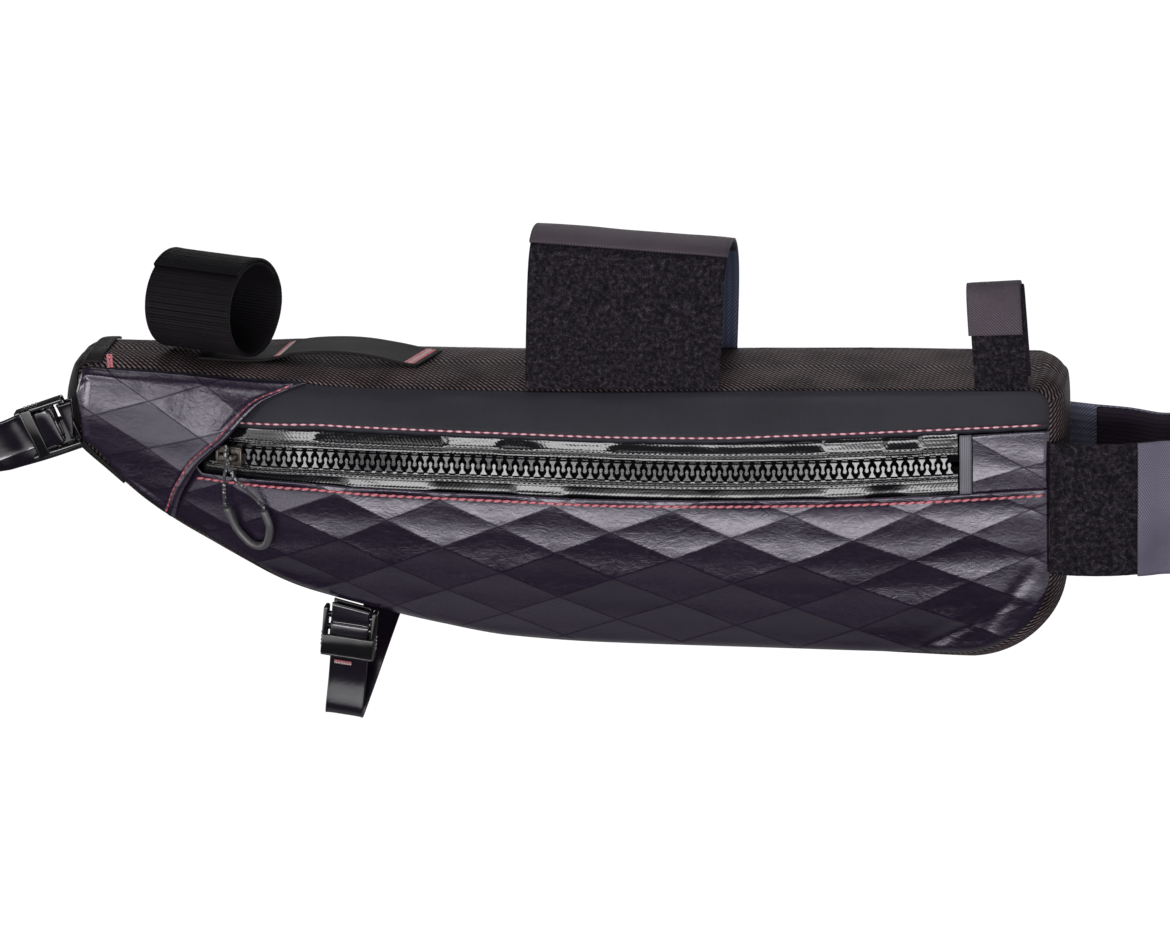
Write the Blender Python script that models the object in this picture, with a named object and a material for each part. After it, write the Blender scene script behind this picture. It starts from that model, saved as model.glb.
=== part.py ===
"""Half-frame bicycle bag: a tapered cloth shell with one long zip, hung by hook-and-loop
straps under a top tube. Metres. X runs along the bag from its nose to its rear, Y from the
shown side to the hidden side, Z up. The top gusset's flat strip lies in the plane z = 0."""

import math

import bmesh
import bpy
from mathutils import Vector

# Body
PANEL_LENGTH = 0.494
PANEL_HEIGHT = 0.140
DEPTH = 0.065
NOSE_X = -0.2475
CROWN = 0.017
BACK_CROWN = 0.005
SWELL = 0.010
NOSE_CORNER = 0.006
REAR_CORNER = 0.009
TAIL_CORNER = 0.046
REAR_SWELL = 0.0075
PANEL_CLOTH = 0.0012
GUSSET_CLOTH = 0.0016
GAP = 0.0003
SEAM_GAP = 0.0005
BAR_GAP = 0.0007

# Zip
CHAIN_WIDTH = 0.0108
CHAIN_THICK = 0.0026
TOOTH_PITCH = 0.0054
TOOTH_LENGTH = 0.0034
TOOTH_SHARE = 0.56
TAPE_CLOTH = 0.0008
TAPE_SINK = 0.0017
FOLD_LAP = 0.003
TAB_LENGTH = 0.006
SLIDER_LENGTH = 0.015
SLIDER_WIDTH = 0.0105
SLIDER_PLATE = 0.0024
BAIL_WIRE = 0.0016
BAIL_SPAN = 0.0095
CORD = 0.0018
SLEEVE = 0.0034

# Straps
LOOP_CLOTH = 0.0016
LOOP_HEIGHT = 0.0715
MID_WIDTH = 0.098
MID_AT = 0.5723
REAR_WIDTH = 0.0265
REAR_AT = 0.9534
REAR_HEIGHT = 0.0515
ROLL_WIDTH = 0.0508
ROLL_RADIUS = 0.0250
ROLL_TURN = math.radians(20)
ROLL_AT = 0.1366
DAISY_WIDTH = 0.025
DAISY_CLOTH = 0.0013
SEAT_WIDTH = 0.069
SEAT_REACH = 0.082
SEAT_HOOK_END = 0.0425
SEAT_PILE_END = 0.018
SEAT_DOWN = 0.443
WEBBING = 0.020
WEBBING_CLOTH = 0.0014
HEAD_REACH = 0.100
HEAD_OUT = 0.0171
HEAD_STAND = 0.0056
HEAD_DOWN = 0.206
DROP_LENGTH = 0.061
DROP_AT = 0.2753
DROP_STAND = 0.0010
DROP_UNDER = 0.0168
BUCKLE_WIDTH = 0.028
BUCKLE_LENGTH = 0.027
BAR = 0.0032
RAIL = 0.0034
PLATE = 0.0016

REAR_X = NOSE_X + PANEL_LENGTH

# Side outline, as shares of the panel's length and height, and the gusset's swell beyond it.
SIDE = {
    "along": (0, 0.012, 0.034, 0.075, 0.14, 0.22, 0.30, 0.37, 0.445, 0.54, 0.75, 0.88, 1),
    "bottom": (0.262, 0.297, 0.388, 0.516, 0.648, 0.786, 0.868, 0.925, 0.970, 0.988, 0.996, 1, 1),
    "swell": (0.70, 0.68, 0.64, 0.60, 0.60, 0.58, 0.48, 0.26, 0.16, 0.18, 0.28, 0.66, 0.74),
}
# Top edge: how far the seam lies under the gusset's flat strip, and that strip's rise at the nose.
TOP = {
    "along": (0, 0.05, 0.12, 0.175, 0.225, 0.262, 0.33, 0.50, 0.70, 0.85, 1),
    "drop": (-0.25, -0.20, -0.12, -0.04, -0.05, 0.22, 0.32, 0.36, 0.18, 0.08, 0.06),
    "rise": (0.60, 0.52, 0.34, 0.20, 0.12, 0, 0, 0, 0, 0, 0),
}
WIDTH = {
    "along": (0, 0.10, 0.24, 0.78, 1),
    "width": (0.615, 0.74, 1, 1, 0.92),
}
# Stitched folds over the zip and the teeth's middle line, as shares of the panel's height.
ZIP = {
    "along": (0, 0.18, 0.245, 0.30, 0.45, 0.57, 0.65, 0.75, 0.85, 1),
    "upper": (0.10, 0.146, 0.142, 0.148, 0.162, 0.170, 0.169, 0.157, 0.144, 0.128),
    "chain": (0.24, 0.266, 0.264, 0.268, 0.278, 0.287, 0.289, 0.284, 0.274, 0.26),
    "lower": (0.36, 0.372, 0.374, 0.385, 0.400, 0.411, 0.410, 0.406, 0.401, 0.391),
}
ZIP_START = 0.132
CHAIN_START = 0.150
CHAIN_END = 0.911
SLIDER_AT = 0.1655
# The nose flap's free edge: how far along it lies at each share of the side's height.
FLAP = {
    "down": (0, 0.085, 0.178, 0.30, 0.396, 0.497, 0.628, 0.76, 0.894, 1),
    "along": (0.246, 0.202, 0.182, 0.162, 0.145, 0.130, 0.117, 0.106, 0.098, 0.092),
    "lift": (0.0008, 0.0024, 0.0036, 0.0044, 0.0046, 0.0044, 0.0038, 0.003, 0.0018, 0.0008),
}


def read(table, name, at, key="along"):
    """The column's value at a place in the table, on a smooth curve with no overshoot."""
    xs = table[key]
    ys = table[name]
    at = min(max(at, xs[0]), xs[-1])
    i = 0
    while i < len(xs) - 2 and at > xs[i + 1]:
        i += 1

    def secant(k):
        return (ys[k + 1] - ys[k]) / (xs[k + 1] - xs[k])

    def slope(k):
        if k == 0:
            return secant(0)
        if k == len(xs) - 1:
            return secant(k - 1)
        a = secant(k - 1)
        b = secant(k)
        return 0 if a * b <= 0 else 2 * a * b / (a + b)

    h = xs[i + 1] - xs[i]
    t = (at - xs[i]) / h
    return (
        (2 * t**3 - 3 * t**2 + 1) * ys[i]
        + (t**3 - 2 * t**2 + t) * h * slope(i)
        + (3 * t**2 - 2 * t**3) * ys[i + 1]
        + (t**3 - t**2) * h * slope(i + 1)
    )


def lerp(a, b, t):
    return a + (b - a) * t


def at_x(along):
    return NOSE_X + PANEL_LENGTH * along


def half(x):
    return DEPTH / 2 * read(WIDTH, "width", (x - NOSE_X) / PANEL_LENGTH)


def seam_top(x):
    """The side panel's top edge, rounded at the nose and the rear."""

    def plain(at):
        return -SWELL * read(TOP, "drop", (at - NOSE_X) / PANEL_LENGTH)

    for corner, start, way in (
        (REAR_CORNER, REAR_X - REAR_CORNER, 1),
        (NOSE_CORNER, NOSE_X + NOSE_CORNER, -1),
    ):
        over = way * (x - start)
        if over > 0:
            return plain(start) - corner + math.sqrt(max(0, corner**2 - over**2))
    return plain(x)


def seam_bottom(x):
    """The side panel's bottom edge, with its round tail corner."""
    start = REAR_X - TAIL_CORNER
    if x <= start:
        return -PANEL_HEIGHT * read(SIDE, "bottom", (x - NOSE_X) / PANEL_LENGTH)
    low = -PANEL_HEIGHT * read(SIDE, "bottom", (start - NOSE_X) / PANEL_LENGTH)
    return low + TAIL_CORNER - math.sqrt(max(0, TAIL_CORNER**2 - (x - start) ** 2))


def crown(along, down):
    return (1 - abs(2 * along - 1) ** 2.6) * (1 - abs(2 * down - 1) ** 2.2)


def front(along, down, sink):
    """A point of the shown side: shares along and down it, and a depth under its outer face."""
    x = at_x(along)
    z = lerp(seam_top(x), seam_bottom(x), down)
    y = -half(x) - SEAM_GAP - PANEL_CLOTH - CROWN * crown(along, down) + sink
    return Vector((x, y, z))


def back(along, down, sink):
    x = at_x(along)
    z = lerp(seam_top(x), seam_bottom(x), down)
    y = half(x) + SEAM_GAP + PANEL_CLOTH + BACK_CROWN * crown(along, down) - sink
    return Vector((x, y, z))


def front_at(x, z, sink):
    top = seam_top(x)
    return front((x - NOSE_X) / PANEL_LENGTH, (top - z) / (top - seam_bottom(x)), sink)


def down_of(along, z):
    x = at_x(along)
    top = seam_top(x)
    return min(max((top - z) / (top - seam_bottom(x)), 0), 1)


def zip_line(along, name, shift=0.0):
    """How far down the side a line of the zip lies, moved down by a distance."""
    return down_of(along, -PANEL_HEIGHT * read(ZIP, name, along) - shift)


def columns(start, stop, count):
    """Places along the side, closer together at its round corners."""
    places = [lerp(start, stop, i / count) for i in range(count + 1)]
    tail = 1 - TAIL_CORNER / PANEL_LENGTH
    if stop > tail:
        places = [p for p in places if p < tail - 0.008]
        for step in range(9):
            angle = math.radians(90 * step / 8)
            places.append(tail + TAIL_CORNER / PANEL_LENGTH * math.sin(angle))
    if start == 0:
        nose = NOSE_CORNER / PANEL_LENGTH
        places = [p for p in places if p > nose * 1.3]
        places = [nose * (1 - math.cos(math.radians(30 * k))) for k in range(4)] + places
    inside = [p for p in places if start + 0.004 < p <= stop + 1e-9]
    return [p for p in places if p <= stop + 1e-9] if start == 0 else [start] + inside


def material(name, colour, roughness, metallic=0.0):
    made = bpy.data.materials.get(name)
    if made:
        return made
    made = bpy.data.materials.new(name)
    made.use_nodes = True
    shader = made.node_tree.nodes["Principled BSDF"]
    shader.inputs["Base Color"].default_value = (*colour, 1)
    shader.inputs["Roughness"].default_value = roughness
    shader.inputs["Metallic"].default_value = metallic
    made.diffuse_color = (*colour, 1)
    return made


MATERIALS = {
    "laminate": ((0.022, 0.020, 0.030), 0.38, 0.0),
    "plain_cloth": ((0.012, 0.013, 0.020), 0.75, 0.0),
    "gusset_mesh": ((0.020, 0.016, 0.016), 0.85, 0.0),
    "zip_tape": ((0.008, 0.008, 0.009), 0.22, 0.0),
    "zip_teeth": ((0.006, 0.006, 0.007), 0.30, 0.0),
    "zip_tab": ((0.060, 0.058, 0.064), 0.55, 0.0),
    "slider_metal": ((0.060, 0.050, 0.045), 0.35, 0.9),
    "pull_cord": ((0.050, 0.050, 0.055), 0.80, 0.0),
    "pull_rubber": ((0.050, 0.050, 0.055), 0.55, 0.0),
    "pile": ((0.010, 0.010, 0.012), 0.95, 0.0),
    "hook": ((0.085, 0.075, 0.080), 0.80, 0.0),
    "elastic": ((0.014, 0.012, 0.014), 0.80, 0.0),
    "webbing": ((0.010, 0.009, 0.011), 0.25, 0.0),
    "buckle": ((0.008, 0.008, 0.009), 0.18, 0.0),
}


def solid(name, look, points, faces):
    """An object from points and faces, with its faces turned outwards."""
    mesh = bpy.data.meshes.new(name)
    mesh.from_pydata([tuple(p) for p in points], [], faces)
    shape = bmesh.new()
    shape.from_mesh(mesh)
    bmesh.ops.recalc_face_normals(shape, faces=shape.faces)
    if shape.calc_volume(signed=True) < 0:
        bmesh.ops.reverse_faces(shape, faces=shape.faces)
    shape.to_mesh(mesh)
    shape.free()
    mesh.materials.append(material(look, *MATERIALS[look]))
    made = bpy.data.objects.new(name, mesh)
    bpy.context.scene.collection.objects.link(made)
    return made


def shell(name, look, outer, inner, closed=False):
    """A cloth solid between two grids of points; closed joins the last column to the first."""
    across = len(outer[0])
    count = len(outer)
    points = [p for row in outer for p in row] + [p for row in inner for p in row]
    below = count * across
    faces = []
    for i in range(count if closed else count - 1):
        j = (i + 1) % count
        for k in range(across - 1):
            a, b, c, d = i * across + k, i * across + k + 1, j * across + k + 1, j * across + k
            faces.append((a, b, c, d))
            faces.append((below + a, below + d, below + c, below + b))
        for k in (0, across - 1):
            a, b = i * across + k, j * across + k
            faces.append((a, b, below + b, below + a))
    if not closed:
        for i in (0, count - 1):
            for k in range(across - 1):
                a, b = i * across + k, i * across + k + 1
                faces.append((a, b, below + b, below + a))
    return solid(name, look, points, faces)


def patch(name, look, places, upper, lower, rows, surface, sink, thick):
    """A piece of a side: places along it, lines above and below, and its depth and thickness."""
    grids = []
    for depth in (sink, sink + thick):
        grids.append(
            [
                [surface(s, lerp(upper(s), lower(s), k / rows), depth) for k in range(rows + 1)]
                for s in places
            ]
        )
    return shell(name, look, *grids)


def smooth(points, steps):
    """A curve through the points, with steps pieces between each two."""
    path = [Vector(p) for p in points]
    ends = [2 * path[0] - path[1], *path, 2 * path[-1] - path[-2]]
    made = []
    for i in range(1, len(ends) - 2):
        a, b, c, d = ends[i - 1 : i + 3]
        for step in range(steps):
            t = step / steps
            made.append(
                0.5
                * (
                    2 * b
                    + (c - a) * t
                    + (2 * a - 5 * b + 4 * c - d) * t**2
                    + (3 * b - a - 3 * c + d) * t**3
                )
            )
    made.append(path[-1])
    return made


def tangents(path):
    last = len(path) - 1
    return [(path[min(i + 1, last)] - path[max(i - 1, 0)]).normalized() for i in range(last + 1)]


def ribbon(name, look, path, wide, width, thick, lift=0.0):
    """A strap along a path: wide is its width's direction, one for all or one a point."""
    path = [Vector(p) for p in path]
    points = []
    for i, (place, along) in enumerate(zip(path, tangents(path))):
        side = Vector(wide[i] if isinstance(wide, list) else wide).normalized()
        out = along.cross(side).normalized()
        for across, up in ((-1, lift), (1, lift), (1, lift + thick), (-1, lift + thick)):
            points.append(place + side * (across * width / 2) + out * up)
    faces = [(0, 1, 2, 3), tuple(len(points) - 4 + k for k in (3, 2, 1, 0))]
    for i in range(len(path) - 1):
        for k in range(4):
            a, b = i * 4 + k, i * 4 + (k + 1) % 4
            faces.append((a, b, b + 4, a + 4))
    return solid(name, look, points, faces)


def tube(name, look, path, radius, sides=8):
    points = []
    turn = Vector((0, 1, 0))
    for place, along in zip(path, tangents(path)):
        turn = (turn - along * turn.dot(along)).normalized()
        other = along.cross(turn)
        for k in range(sides):
            angle = 2 * math.pi * k / sides
            points.append(place + radius * (math.cos(angle) * turn + math.sin(angle) * other))
    faces = [tuple(range(sides)), tuple(len(points) - 1 - k for k in range(sides))]
    for i in range(len(path) - 1):
        for k in range(sides):
            a, b = i * sides + k, i * sides + (k + 1) % sides
            faces.append((a, b, b + sides, a + sides))
    return solid(name, look, points, faces)


def block(name, look, place, axes, sizes):
    """A box at a place, its sides along three axes."""
    points = []
    for z in (-1, 1):
        for x, y in ((-1, -1), (1, -1), (1, 1), (-1, 1)):
            spots = zip((x, y, z), axes, sizes)
            points.append(sum((axis * (k * size / 2) for k, axis, size in spots), Vector(place)))
    faces = [(0, 3, 2, 1), (4, 5, 6, 7)]
    faces += [(k, (k + 1) % 4, (k + 1) % 4 + 4, k + 4) for k in range(4)]
    return solid(name, look, points, faces)


def join(whole, pieces):
    """Adds the pieces to the whole, and keeps them as hidden helpers."""
    for piece in pieces:
        piece.hide_render = True
        piece.display_type = "WIRE"
        union = whole.modifiers.new(piece.name, "BOOLEAN")
        union.operation = "UNION"
        union.solver = "EXACT"
        union.object = piece
    return whole


def rim():
    """Points round the side's seam, clockwise from the nose's top: place, outward way, swell."""
    found = []

    def add(x, z, way, swell):
        found.append((x, z, way, swell))

    def crest(x):
        along = (x - NOSE_X) / PANEL_LENGTH
        return SWELL * (read(TOP, "rise", along) + read(TOP, "drop", along))

    first = NOSE_X + NOSE_CORNER
    last = REAR_X - REAR_CORNER
    count = 22
    for i in range(count + 1):
        x = lerp(first, last, i / count)
        add(x, seam_top(x), (0, 1), crest(x))
    centre = seam_top(last) - REAR_CORNER
    for k in range(1, 5):
        angle = math.radians(90 - 90 * k / 4)
        way = (math.cos(angle), math.sin(angle))
        swell = lerp(crest(last), REAR_SWELL, (k / 4) ** 0.6)
        add(last + REAR_CORNER * way[0], centre + REAR_CORNER * way[1], way, swell)
    tail = REAR_X - TAIL_CORNER
    low = seam_bottom(tail) + TAIL_CORNER
    for k in (1, 2):
        add(REAR_X, lerp(centre, low, k / 3), (1, 0), REAR_SWELL)
    tail_swell = SWELL * read(SIDE, "swell", (tail - NOSE_X) / PANEL_LENGTH)
    for k in range(9):
        angle = math.radians(-90 * k / 8)
        way = (math.cos(angle), math.sin(angle))
        swell = lerp(REAR_SWELL, tail_swell, k / 8) + 0.22 * SWELL * math.sin(math.pi * k / 8)
        add(tail + TAIL_CORNER * way[0], low + TAIL_CORNER * way[1], way, swell)
    for i in range(1, 24):
        along = lerp((tail - NOSE_X) / PANEL_LENGTH, 0, (i / 24) ** 0.85)
        x = at_x(along)
        step = 0.001
        rise = (seam_bottom(x + step) - seam_bottom(max(x - step, NOSE_X))) / (2 * step)
        size = math.hypot(rise, 1)
        add(x, seam_bottom(x), (rise / size, -1 / size), SWELL * read(SIDE, "swell", along))
    base = seam_bottom(NOSE_X)
    top = seam_top(NOSE_X)
    add(NOSE_X, base, (-0.86, -0.51), SWELL * 0.80)
    for k in (1, 2, 3):
        add(NOSE_X, lerp(base, top, k / 3), (-1, 0.0), SWELL * (0.95, 0.90, 0.55)[k - 1])
    centre = seam_top(first) - NOSE_CORNER
    for k in (1, 2):
        angle = math.radians(180 - 30 * k)
        way = (math.cos(angle), math.sin(angle))
        swell = SWELL * lerp(0.55, 0.20, k / 2)
        add(first + NOSE_CORNER * way[0], centre + NOSE_CORNER * way[1], way, swell)
    return found


FLAT = 0.42
ACROSS = (-1, -0.88, -0.68, -FLAT, FLAT, 0.68, 0.88, 1)


def swell_share(v):
    over = max(0, (abs(v) - FLAT) / (1 - FLAT))
    return 1 - over**2.2


def gusset_point(spot, v, lift):
    x, z, way, swell = spot
    push = swell * swell_share(v) + lift
    return Vector((x + way[0] * push, v * half(x), z + way[1] * push))


def sweep(name, look, spots, across, lift, thick, closed=False):
    """Cloth over the gusset's outer face, at a height over it."""
    outer = [[gusset_point(spot, v, lift + thick) for v in across] for spot in spots]
    inner = [[gusset_point(spot, v, lift) for v in across] for spot in spots]
    return shell(name, look, outer, inner, closed)


def top_z(x):
    """The height of the gusset's flat strip."""
    return SWELL * read(TOP, "rise", (x - NOSE_X) / PANEL_LENGTH)


def body():
    spots = rim()
    sweep("gusset", "gusset_mesh", spots, ACROSS, -GUSSET_CLOTH, GUSSET_CLOTH, True)
    near = [s for s in spots if s[0] < NOSE_X + 0.045 * PANEL_LENGTH and s[1] < -NOSE_CORNER]
    high = [s for s in spots if s[0] < NOSE_X + 0.03 * PANEL_LENGTH and s[1] >= -NOSE_CORNER]
    lead = [s for s in high if s[2] == (0, 1)]
    rest = [s for s in high if s[2] != (0, 1)]
    sides = [v * 0.97 for v in ACROSS]
    sweep("nose_patch", "plain_cloth", near + rest + lead, sides, 2 * GAP, 0.001)

    def upper_edge(s):
        return zip_line(s, "upper", FOLD_LAP)

    def lower_edge(s):
        shut = zip_line(s, "upper", FOLD_LAP + GAP)
        wide = zip_line(s, "lower", -FOLD_LAP)
        return lerp(shut, wide, min(max((s - 0.10) / 0.03, 0), 1))

    ends = columns(0, 1, 30)
    patch(
        "side_strip", "plain_cloth", ends, lambda s: 0, upper_edge, 3, front, 0, PANEL_CLOTH
    )
    patch(
        "side_panel", "laminate", ends, lower_edge, lambda s: 1, 6, front, 0, PANEL_CLOTH
    )
    patch(
        "back_panel", "laminate", columns(0, 1, 22), lambda s: 0, lambda s: 1, 4, back, 0,
        PANEL_CLOTH,
    )
    tape = [lerp(ZIP_START, CHAIN_END, i / 26) for i in range(27)]
    edge = CHAIN_WIDTH / 2 + GAP
    patch(
        "zip_tape_upper", "zip_tape", tape,
        lambda s: zip_line(s, "upper"), lambda s: zip_line(s, "chain", -edge),
        1, front, TAPE_SINK, TAPE_CLOTH,
    )
    patch(
        "zip_tape_lower", "zip_tape", tape,
        lambda s: zip_line(s, "chain", edge), lambda s: zip_line(s, "lower"),
        1, front, TAPE_SINK, TAPE_CLOTH,
    )
    tab = [CHAIN_END + 0.0005 + TAB_LENGTH / 2 / PANEL_LENGTH * k for k in range(3)]
    patch(
        "zip_end_tab", "zip_tab", tab,
        lambda s: zip_line(s, "upper", FOLD_LAP + GAP),
        lambda s: zip_line(s, "lower", -FOLD_LAP - GAP),
        2, front, -0.0006, 0.0016,
    )
    rest = [s for s in columns(tab[-1] + 0.0007, 1, 5)]
    patch(
        "zip_end_patch", "laminate", rest,
        lambda s: zip_line(s, "upper", FOLD_LAP + GAP),
        lambda s: zip_line(s, "lower", -FOLD_LAP - GAP),
        2, front, 0.0002, 0.001,
    )
    chain()
    flap()


def chain():
    """The closed row of teeth: a strip with a comb of teeth along each edge."""
    start, stop = at_x(CHAIN_START), at_x(CHAIN_END)
    count = int((stop - start) / TOOTH_PITCH)
    core = CHAIN_WIDTH / 2 - TOOTH_LENGTH
    points = []
    faces = []
    rows = []
    for i in range(2 * count):
        rows.append(start + (i // 2 + TOOTH_SHARE * (i % 2)) * TOOTH_PITCH)
    for sink in (0.0, CHAIN_THICK):
        for x in rows:
            along = (x - NOSE_X) / PANEL_LENGTH
            middle = -PANEL_HEIGHT * read(ZIP, "chain", along)
            for offset in (CHAIN_WIDTH / 2, core, -core, -CHAIN_WIDTH / 2):
                points.append(front_at(x, middle + offset, sink))
    size = 4 * len(rows)
    for i in range(len(rows) - 1):
        tooth = i % 2 == 0
        a, b = 4 * i, 4 * (i + 1)
        for k in (0, 1, 2):
            if k != 1 and not tooth:
                continue
            faces.append((a + k, b + k, b + k + 1, a + k + 1))
            faces.append((size + a + k, size + a + k + 1, size + b + k + 1, size + b + k))
        for k in (0, 3):
            line = k if tooth else (1 if k == 0 else 2)
            faces.append((a + line, b + line, size + b + line, size + a + line))
        if tooth:
            for end in (a, b):
                for k in (0, 2):
                    faces.append((end + k, end + k + 1, size + end + k + 1, size + end + k))
    for end in (0, 4 * (len(rows) - 1)):
        faces.append((end + 1, end + 2, size + end + 2, size + end + 1))
    used = sorted({k for face in faces for k in face})
    place = {k: i for i, k in enumerate(used)}
    faces = [tuple(place[k] for k in face) for face in faces]
    solid("zip_chain", "zip_teeth", [points[k] for k in used], faces)


def flap():
    """The nose's cover, sewn at three edges; its curved free edge stands off over the zip."""
    rows = 10
    steps = 9
    grids = []
    for extra in (PANEL_CLOTH, 0):
        grid = []
        for i in range(steps + 1):
            w = (i / steps) ** 0.8
            line = []
            for k in range(rows + 1):
                down = k / rows
                along = read(FLAP, "along", down, "down") * w
                lift = 0.0008 + read(FLAP, "lift", down, "down") * w**2.5
                line.append(front(along, down, -lift - extra))
            grid.append(line)
        grids.append(grid)
    shell("zip_garage", "laminate", *grids)


def slider():
    x = at_x(SLIDER_AT)
    z = -PANEL_HEIGHT * read(ZIP, "chain", SLIDER_AT)
    base = front_at(x, z, -GAP - SLIDER_PLATE / 2)
    ahead = (front_at(x + 0.006, z, 0) - front_at(x - 0.006, z, 0)).normalized()
    up = (front_at(x, z + 0.006, 0) - front_at(x, z - 0.006, 0)).normalized()
    out = up.cross(ahead)
    if out.y > 0:
        out = -out
    up = ahead.cross(out) if ahead.cross(out).z > 0 else out.cross(ahead)
    base = base + out * 0.0006
    half_long = SLIDER_LENGTH / 2
    half_wide = SLIDER_WIDTH / 2
    outline = (
        (-half_long, 0.55), (-0.8 * half_long, 0.8), (0, 0.85), (0.55 * half_long, 1),
        (0.9 * half_long, 0.95), (half_long, 0.7),
    )
    points = []
    for depth in (-SLIDER_PLATE / 2, SLIDER_PLATE / 2):
        for along, share in outline:
            points.append(base + ahead * along + up * (share * half_wide) + out * depth)
        for along, share in reversed(outline):
            points.append(base + ahead * along - up * (share * half_wide) + out * depth)
    size = 2 * len(outline)
    faces = [tuple(range(size)), tuple(range(2 * size - 1, size - 1, -1))]
    faces += [(k, (k + 1) % size, (k + 1) % size + size, k + size) for k in range(size)]
    plate = solid("zip_slider", "slider_metal", points, faces)
    room = CORD + 0.0010
    rise = SLIDER_PLATE / 2 + room + BAIL_WIRE / 2
    arch = []
    for k in range(9):
        angle = math.pi * k / 8
        arch.append(
            base
            + ahead * (-BAIL_SPAN / 2 * math.cos(angle))
            + out * (rise * min(1, 1.25 * math.sin(angle)))
        )
    bail = ribbon("bail_wire", "slider_metal", arch, up, 0.0042, BAIL_WIRE, -BAIL_WIRE / 2)
    join(plate, [bail])
    pull(base, ahead, up, out, SLIDER_PLATE / 2 + room / 2, rise)


def pull(base, ahead, up, out, inside, rise):
    """The cord through the slider's bail and the rubber sleeve that joins its ends."""
    drop = PANEL_HEIGHT
    over = rise + BAIL_WIRE / 2 + CORD / 2 + GAP
    sleeve_rows = {
        "along": (-0.0034, -0.0016, 0.0022, 0.0090, 0.0162, 0.0194, 0.0172),
        "down": (0.200, 0.245, 0.300, 0.345, 0.332, 0.262, 0.196),
    }
    stand = SLEEVE / 2 + 2 * GAP
    route = []
    for along, down in zip(sleeve_rows["along"], sleeve_rows["down"]):
        x = base.x + along
        z = base.z - drop * down
        route.append(front_at(x, z, -stand - 0.0008))
    sleeve = smooth(route, 4)
    tube("pull_sleeve", "pull_rubber", sleeve, SLEEVE / 2, 8)
    first = sleeve[0] + (sleeve[0] - sleeve[1]).normalized() * 2 * GAP
    last = sleeve[-1] + (sleeve[-1] - sleeve[-2]).normalized() * 2 * GAP
    leave = first + (sleeve[0] - sleeve[1]).normalized() * 0.003
    arrive = last + (sleeve[-1] - sleeve[-2]).normalized() * 0.003
    turn = over - inside
    route = [
        first,
        leave,
        base - up * 0.011 - ahead * 0.0016 + out * (inside + 0.0010),
        base - up * 0.004 - ahead * 0.0004 + out * inside,
        base + up * 0.001 + out * inside,
        base + up * 0.0045 + out * (inside + 0.15 * turn),
        base + up * 0.0065 + ahead * 0.0006 + out * (inside + 0.55 * turn),
        base + up * 0.0045 + ahead * 0.0012 + out * (over + 0.0001),
        base + up * 0.0005 + ahead * 0.0018 + out * (over + 0.0003),
        base - up * 0.0050 + ahead * 0.0034 + out * (over - 0.0004),
        base - up * 0.0120 + ahead * 0.0065 + out * (0.6 * over),
        arrive,
        last,
    ]
    path = smooth(route, 2)
    line = bpy.data.curves.new("pull_cord", "CURVE")
    line.dimensions = "3D"
    line.bevel_depth = CORD / 2
    line.bevel_resolution = 2
    line.use_fill_caps = True
    spline = line.splines.new("POLY")
    spline.points.add(len(path) - 1)
    for point, place in zip(spline.points, path):
        point.co = (*place, 1)
    line.materials.append(material("pull_cord", *MATERIALS["pull_cord"]))
    made = bpy.data.objects.new("pull_cord", line)
    bpy.context.scene.collection.objects.link(made)


def loop_path(centre, span, height, rows, lean, tilt):
    """A loop standing on the gusset's seams: its path and its width's direction at each point."""
    path = []
    for across, up in zip(rows["across"], rows["up"]):
        path.append((centre + lean * up, span * across, height * up))
    track = smooth(path, 3)
    top = max(p.z for p in track)
    wide = [Vector((1, 0, lerp(tilt[0], tilt[1], min(max(p.z / top, 0), 1)))) for p in track]
    return track, wide


def mid_loop():
    """The wide loop: pile rises from the shown seam, the hook end laps over its top."""
    rows = {
        "across": (-0.526, -0.54, -0.53, -0.50, -0.43, -0.30, -0.12, 0.08, 0.26, 0.38, 0.44, 0.475),
        "up": (-0.026, 0.20, 0.50, 0.78, 0.92, 0.985, 0.985, 0.93, 0.80, 0.62, 0.35, 0.01),
    }
    track, wide = loop_path(at_x(MID_AT), DEPTH, LOOP_HEIGHT, rows, 0.0045, (0.016, -0.075))
    cut = int(len(track) * 0.70)
    ribbon("mid_loop_pile", "pile", track[:cut], wide[:cut], MID_WIDTH, LOOP_CLOTH)
    cut = int(len(track) * 0.395)
    ribbon(
        "mid_loop_hook", "hook", track[cut:], wide[cut:], MID_WIDTH + 0.001, LOOP_CLOTH,
        -LOOP_CLOTH - GAP,
    )


def rear_loop():
    """The narrow loop behind: pinched flat, its hook end lapped over the front."""
    rows = {
        "across": (-0.522, -0.53, -0.515, -0.49, -0.455, -0.40, -0.34, -0.29, -0.26, -0.24, -0.22),
        "up": (0.006, 0.25, 0.55, 0.80, 0.93, 0.985, 0.975, 0.90, 0.65, 0.35, 0.03),
    }
    centre = at_x(REAR_AT)
    span = 2 * half(centre)
    track, wide = loop_path(centre, span, REAR_HEIGHT, rows, -0.003, (0.01, 0.07))
    ribbon("rear_loop_pile", "pile", track, wide, REAR_WIDTH, LOOP_CLOTH)
    start = int(len(track) * 0.20)
    stop = int(len(track) * 0.70)
    hook = [p - Vector((0.0012, 0, 0)) for p in track[start:stop]]
    ribbon(
        "rear_loop_hook", "hook", hook, wide[start:stop], REAR_WIDTH, LOOP_CLOTH,
        -LOOP_CLOTH - GAP,
    )


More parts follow.
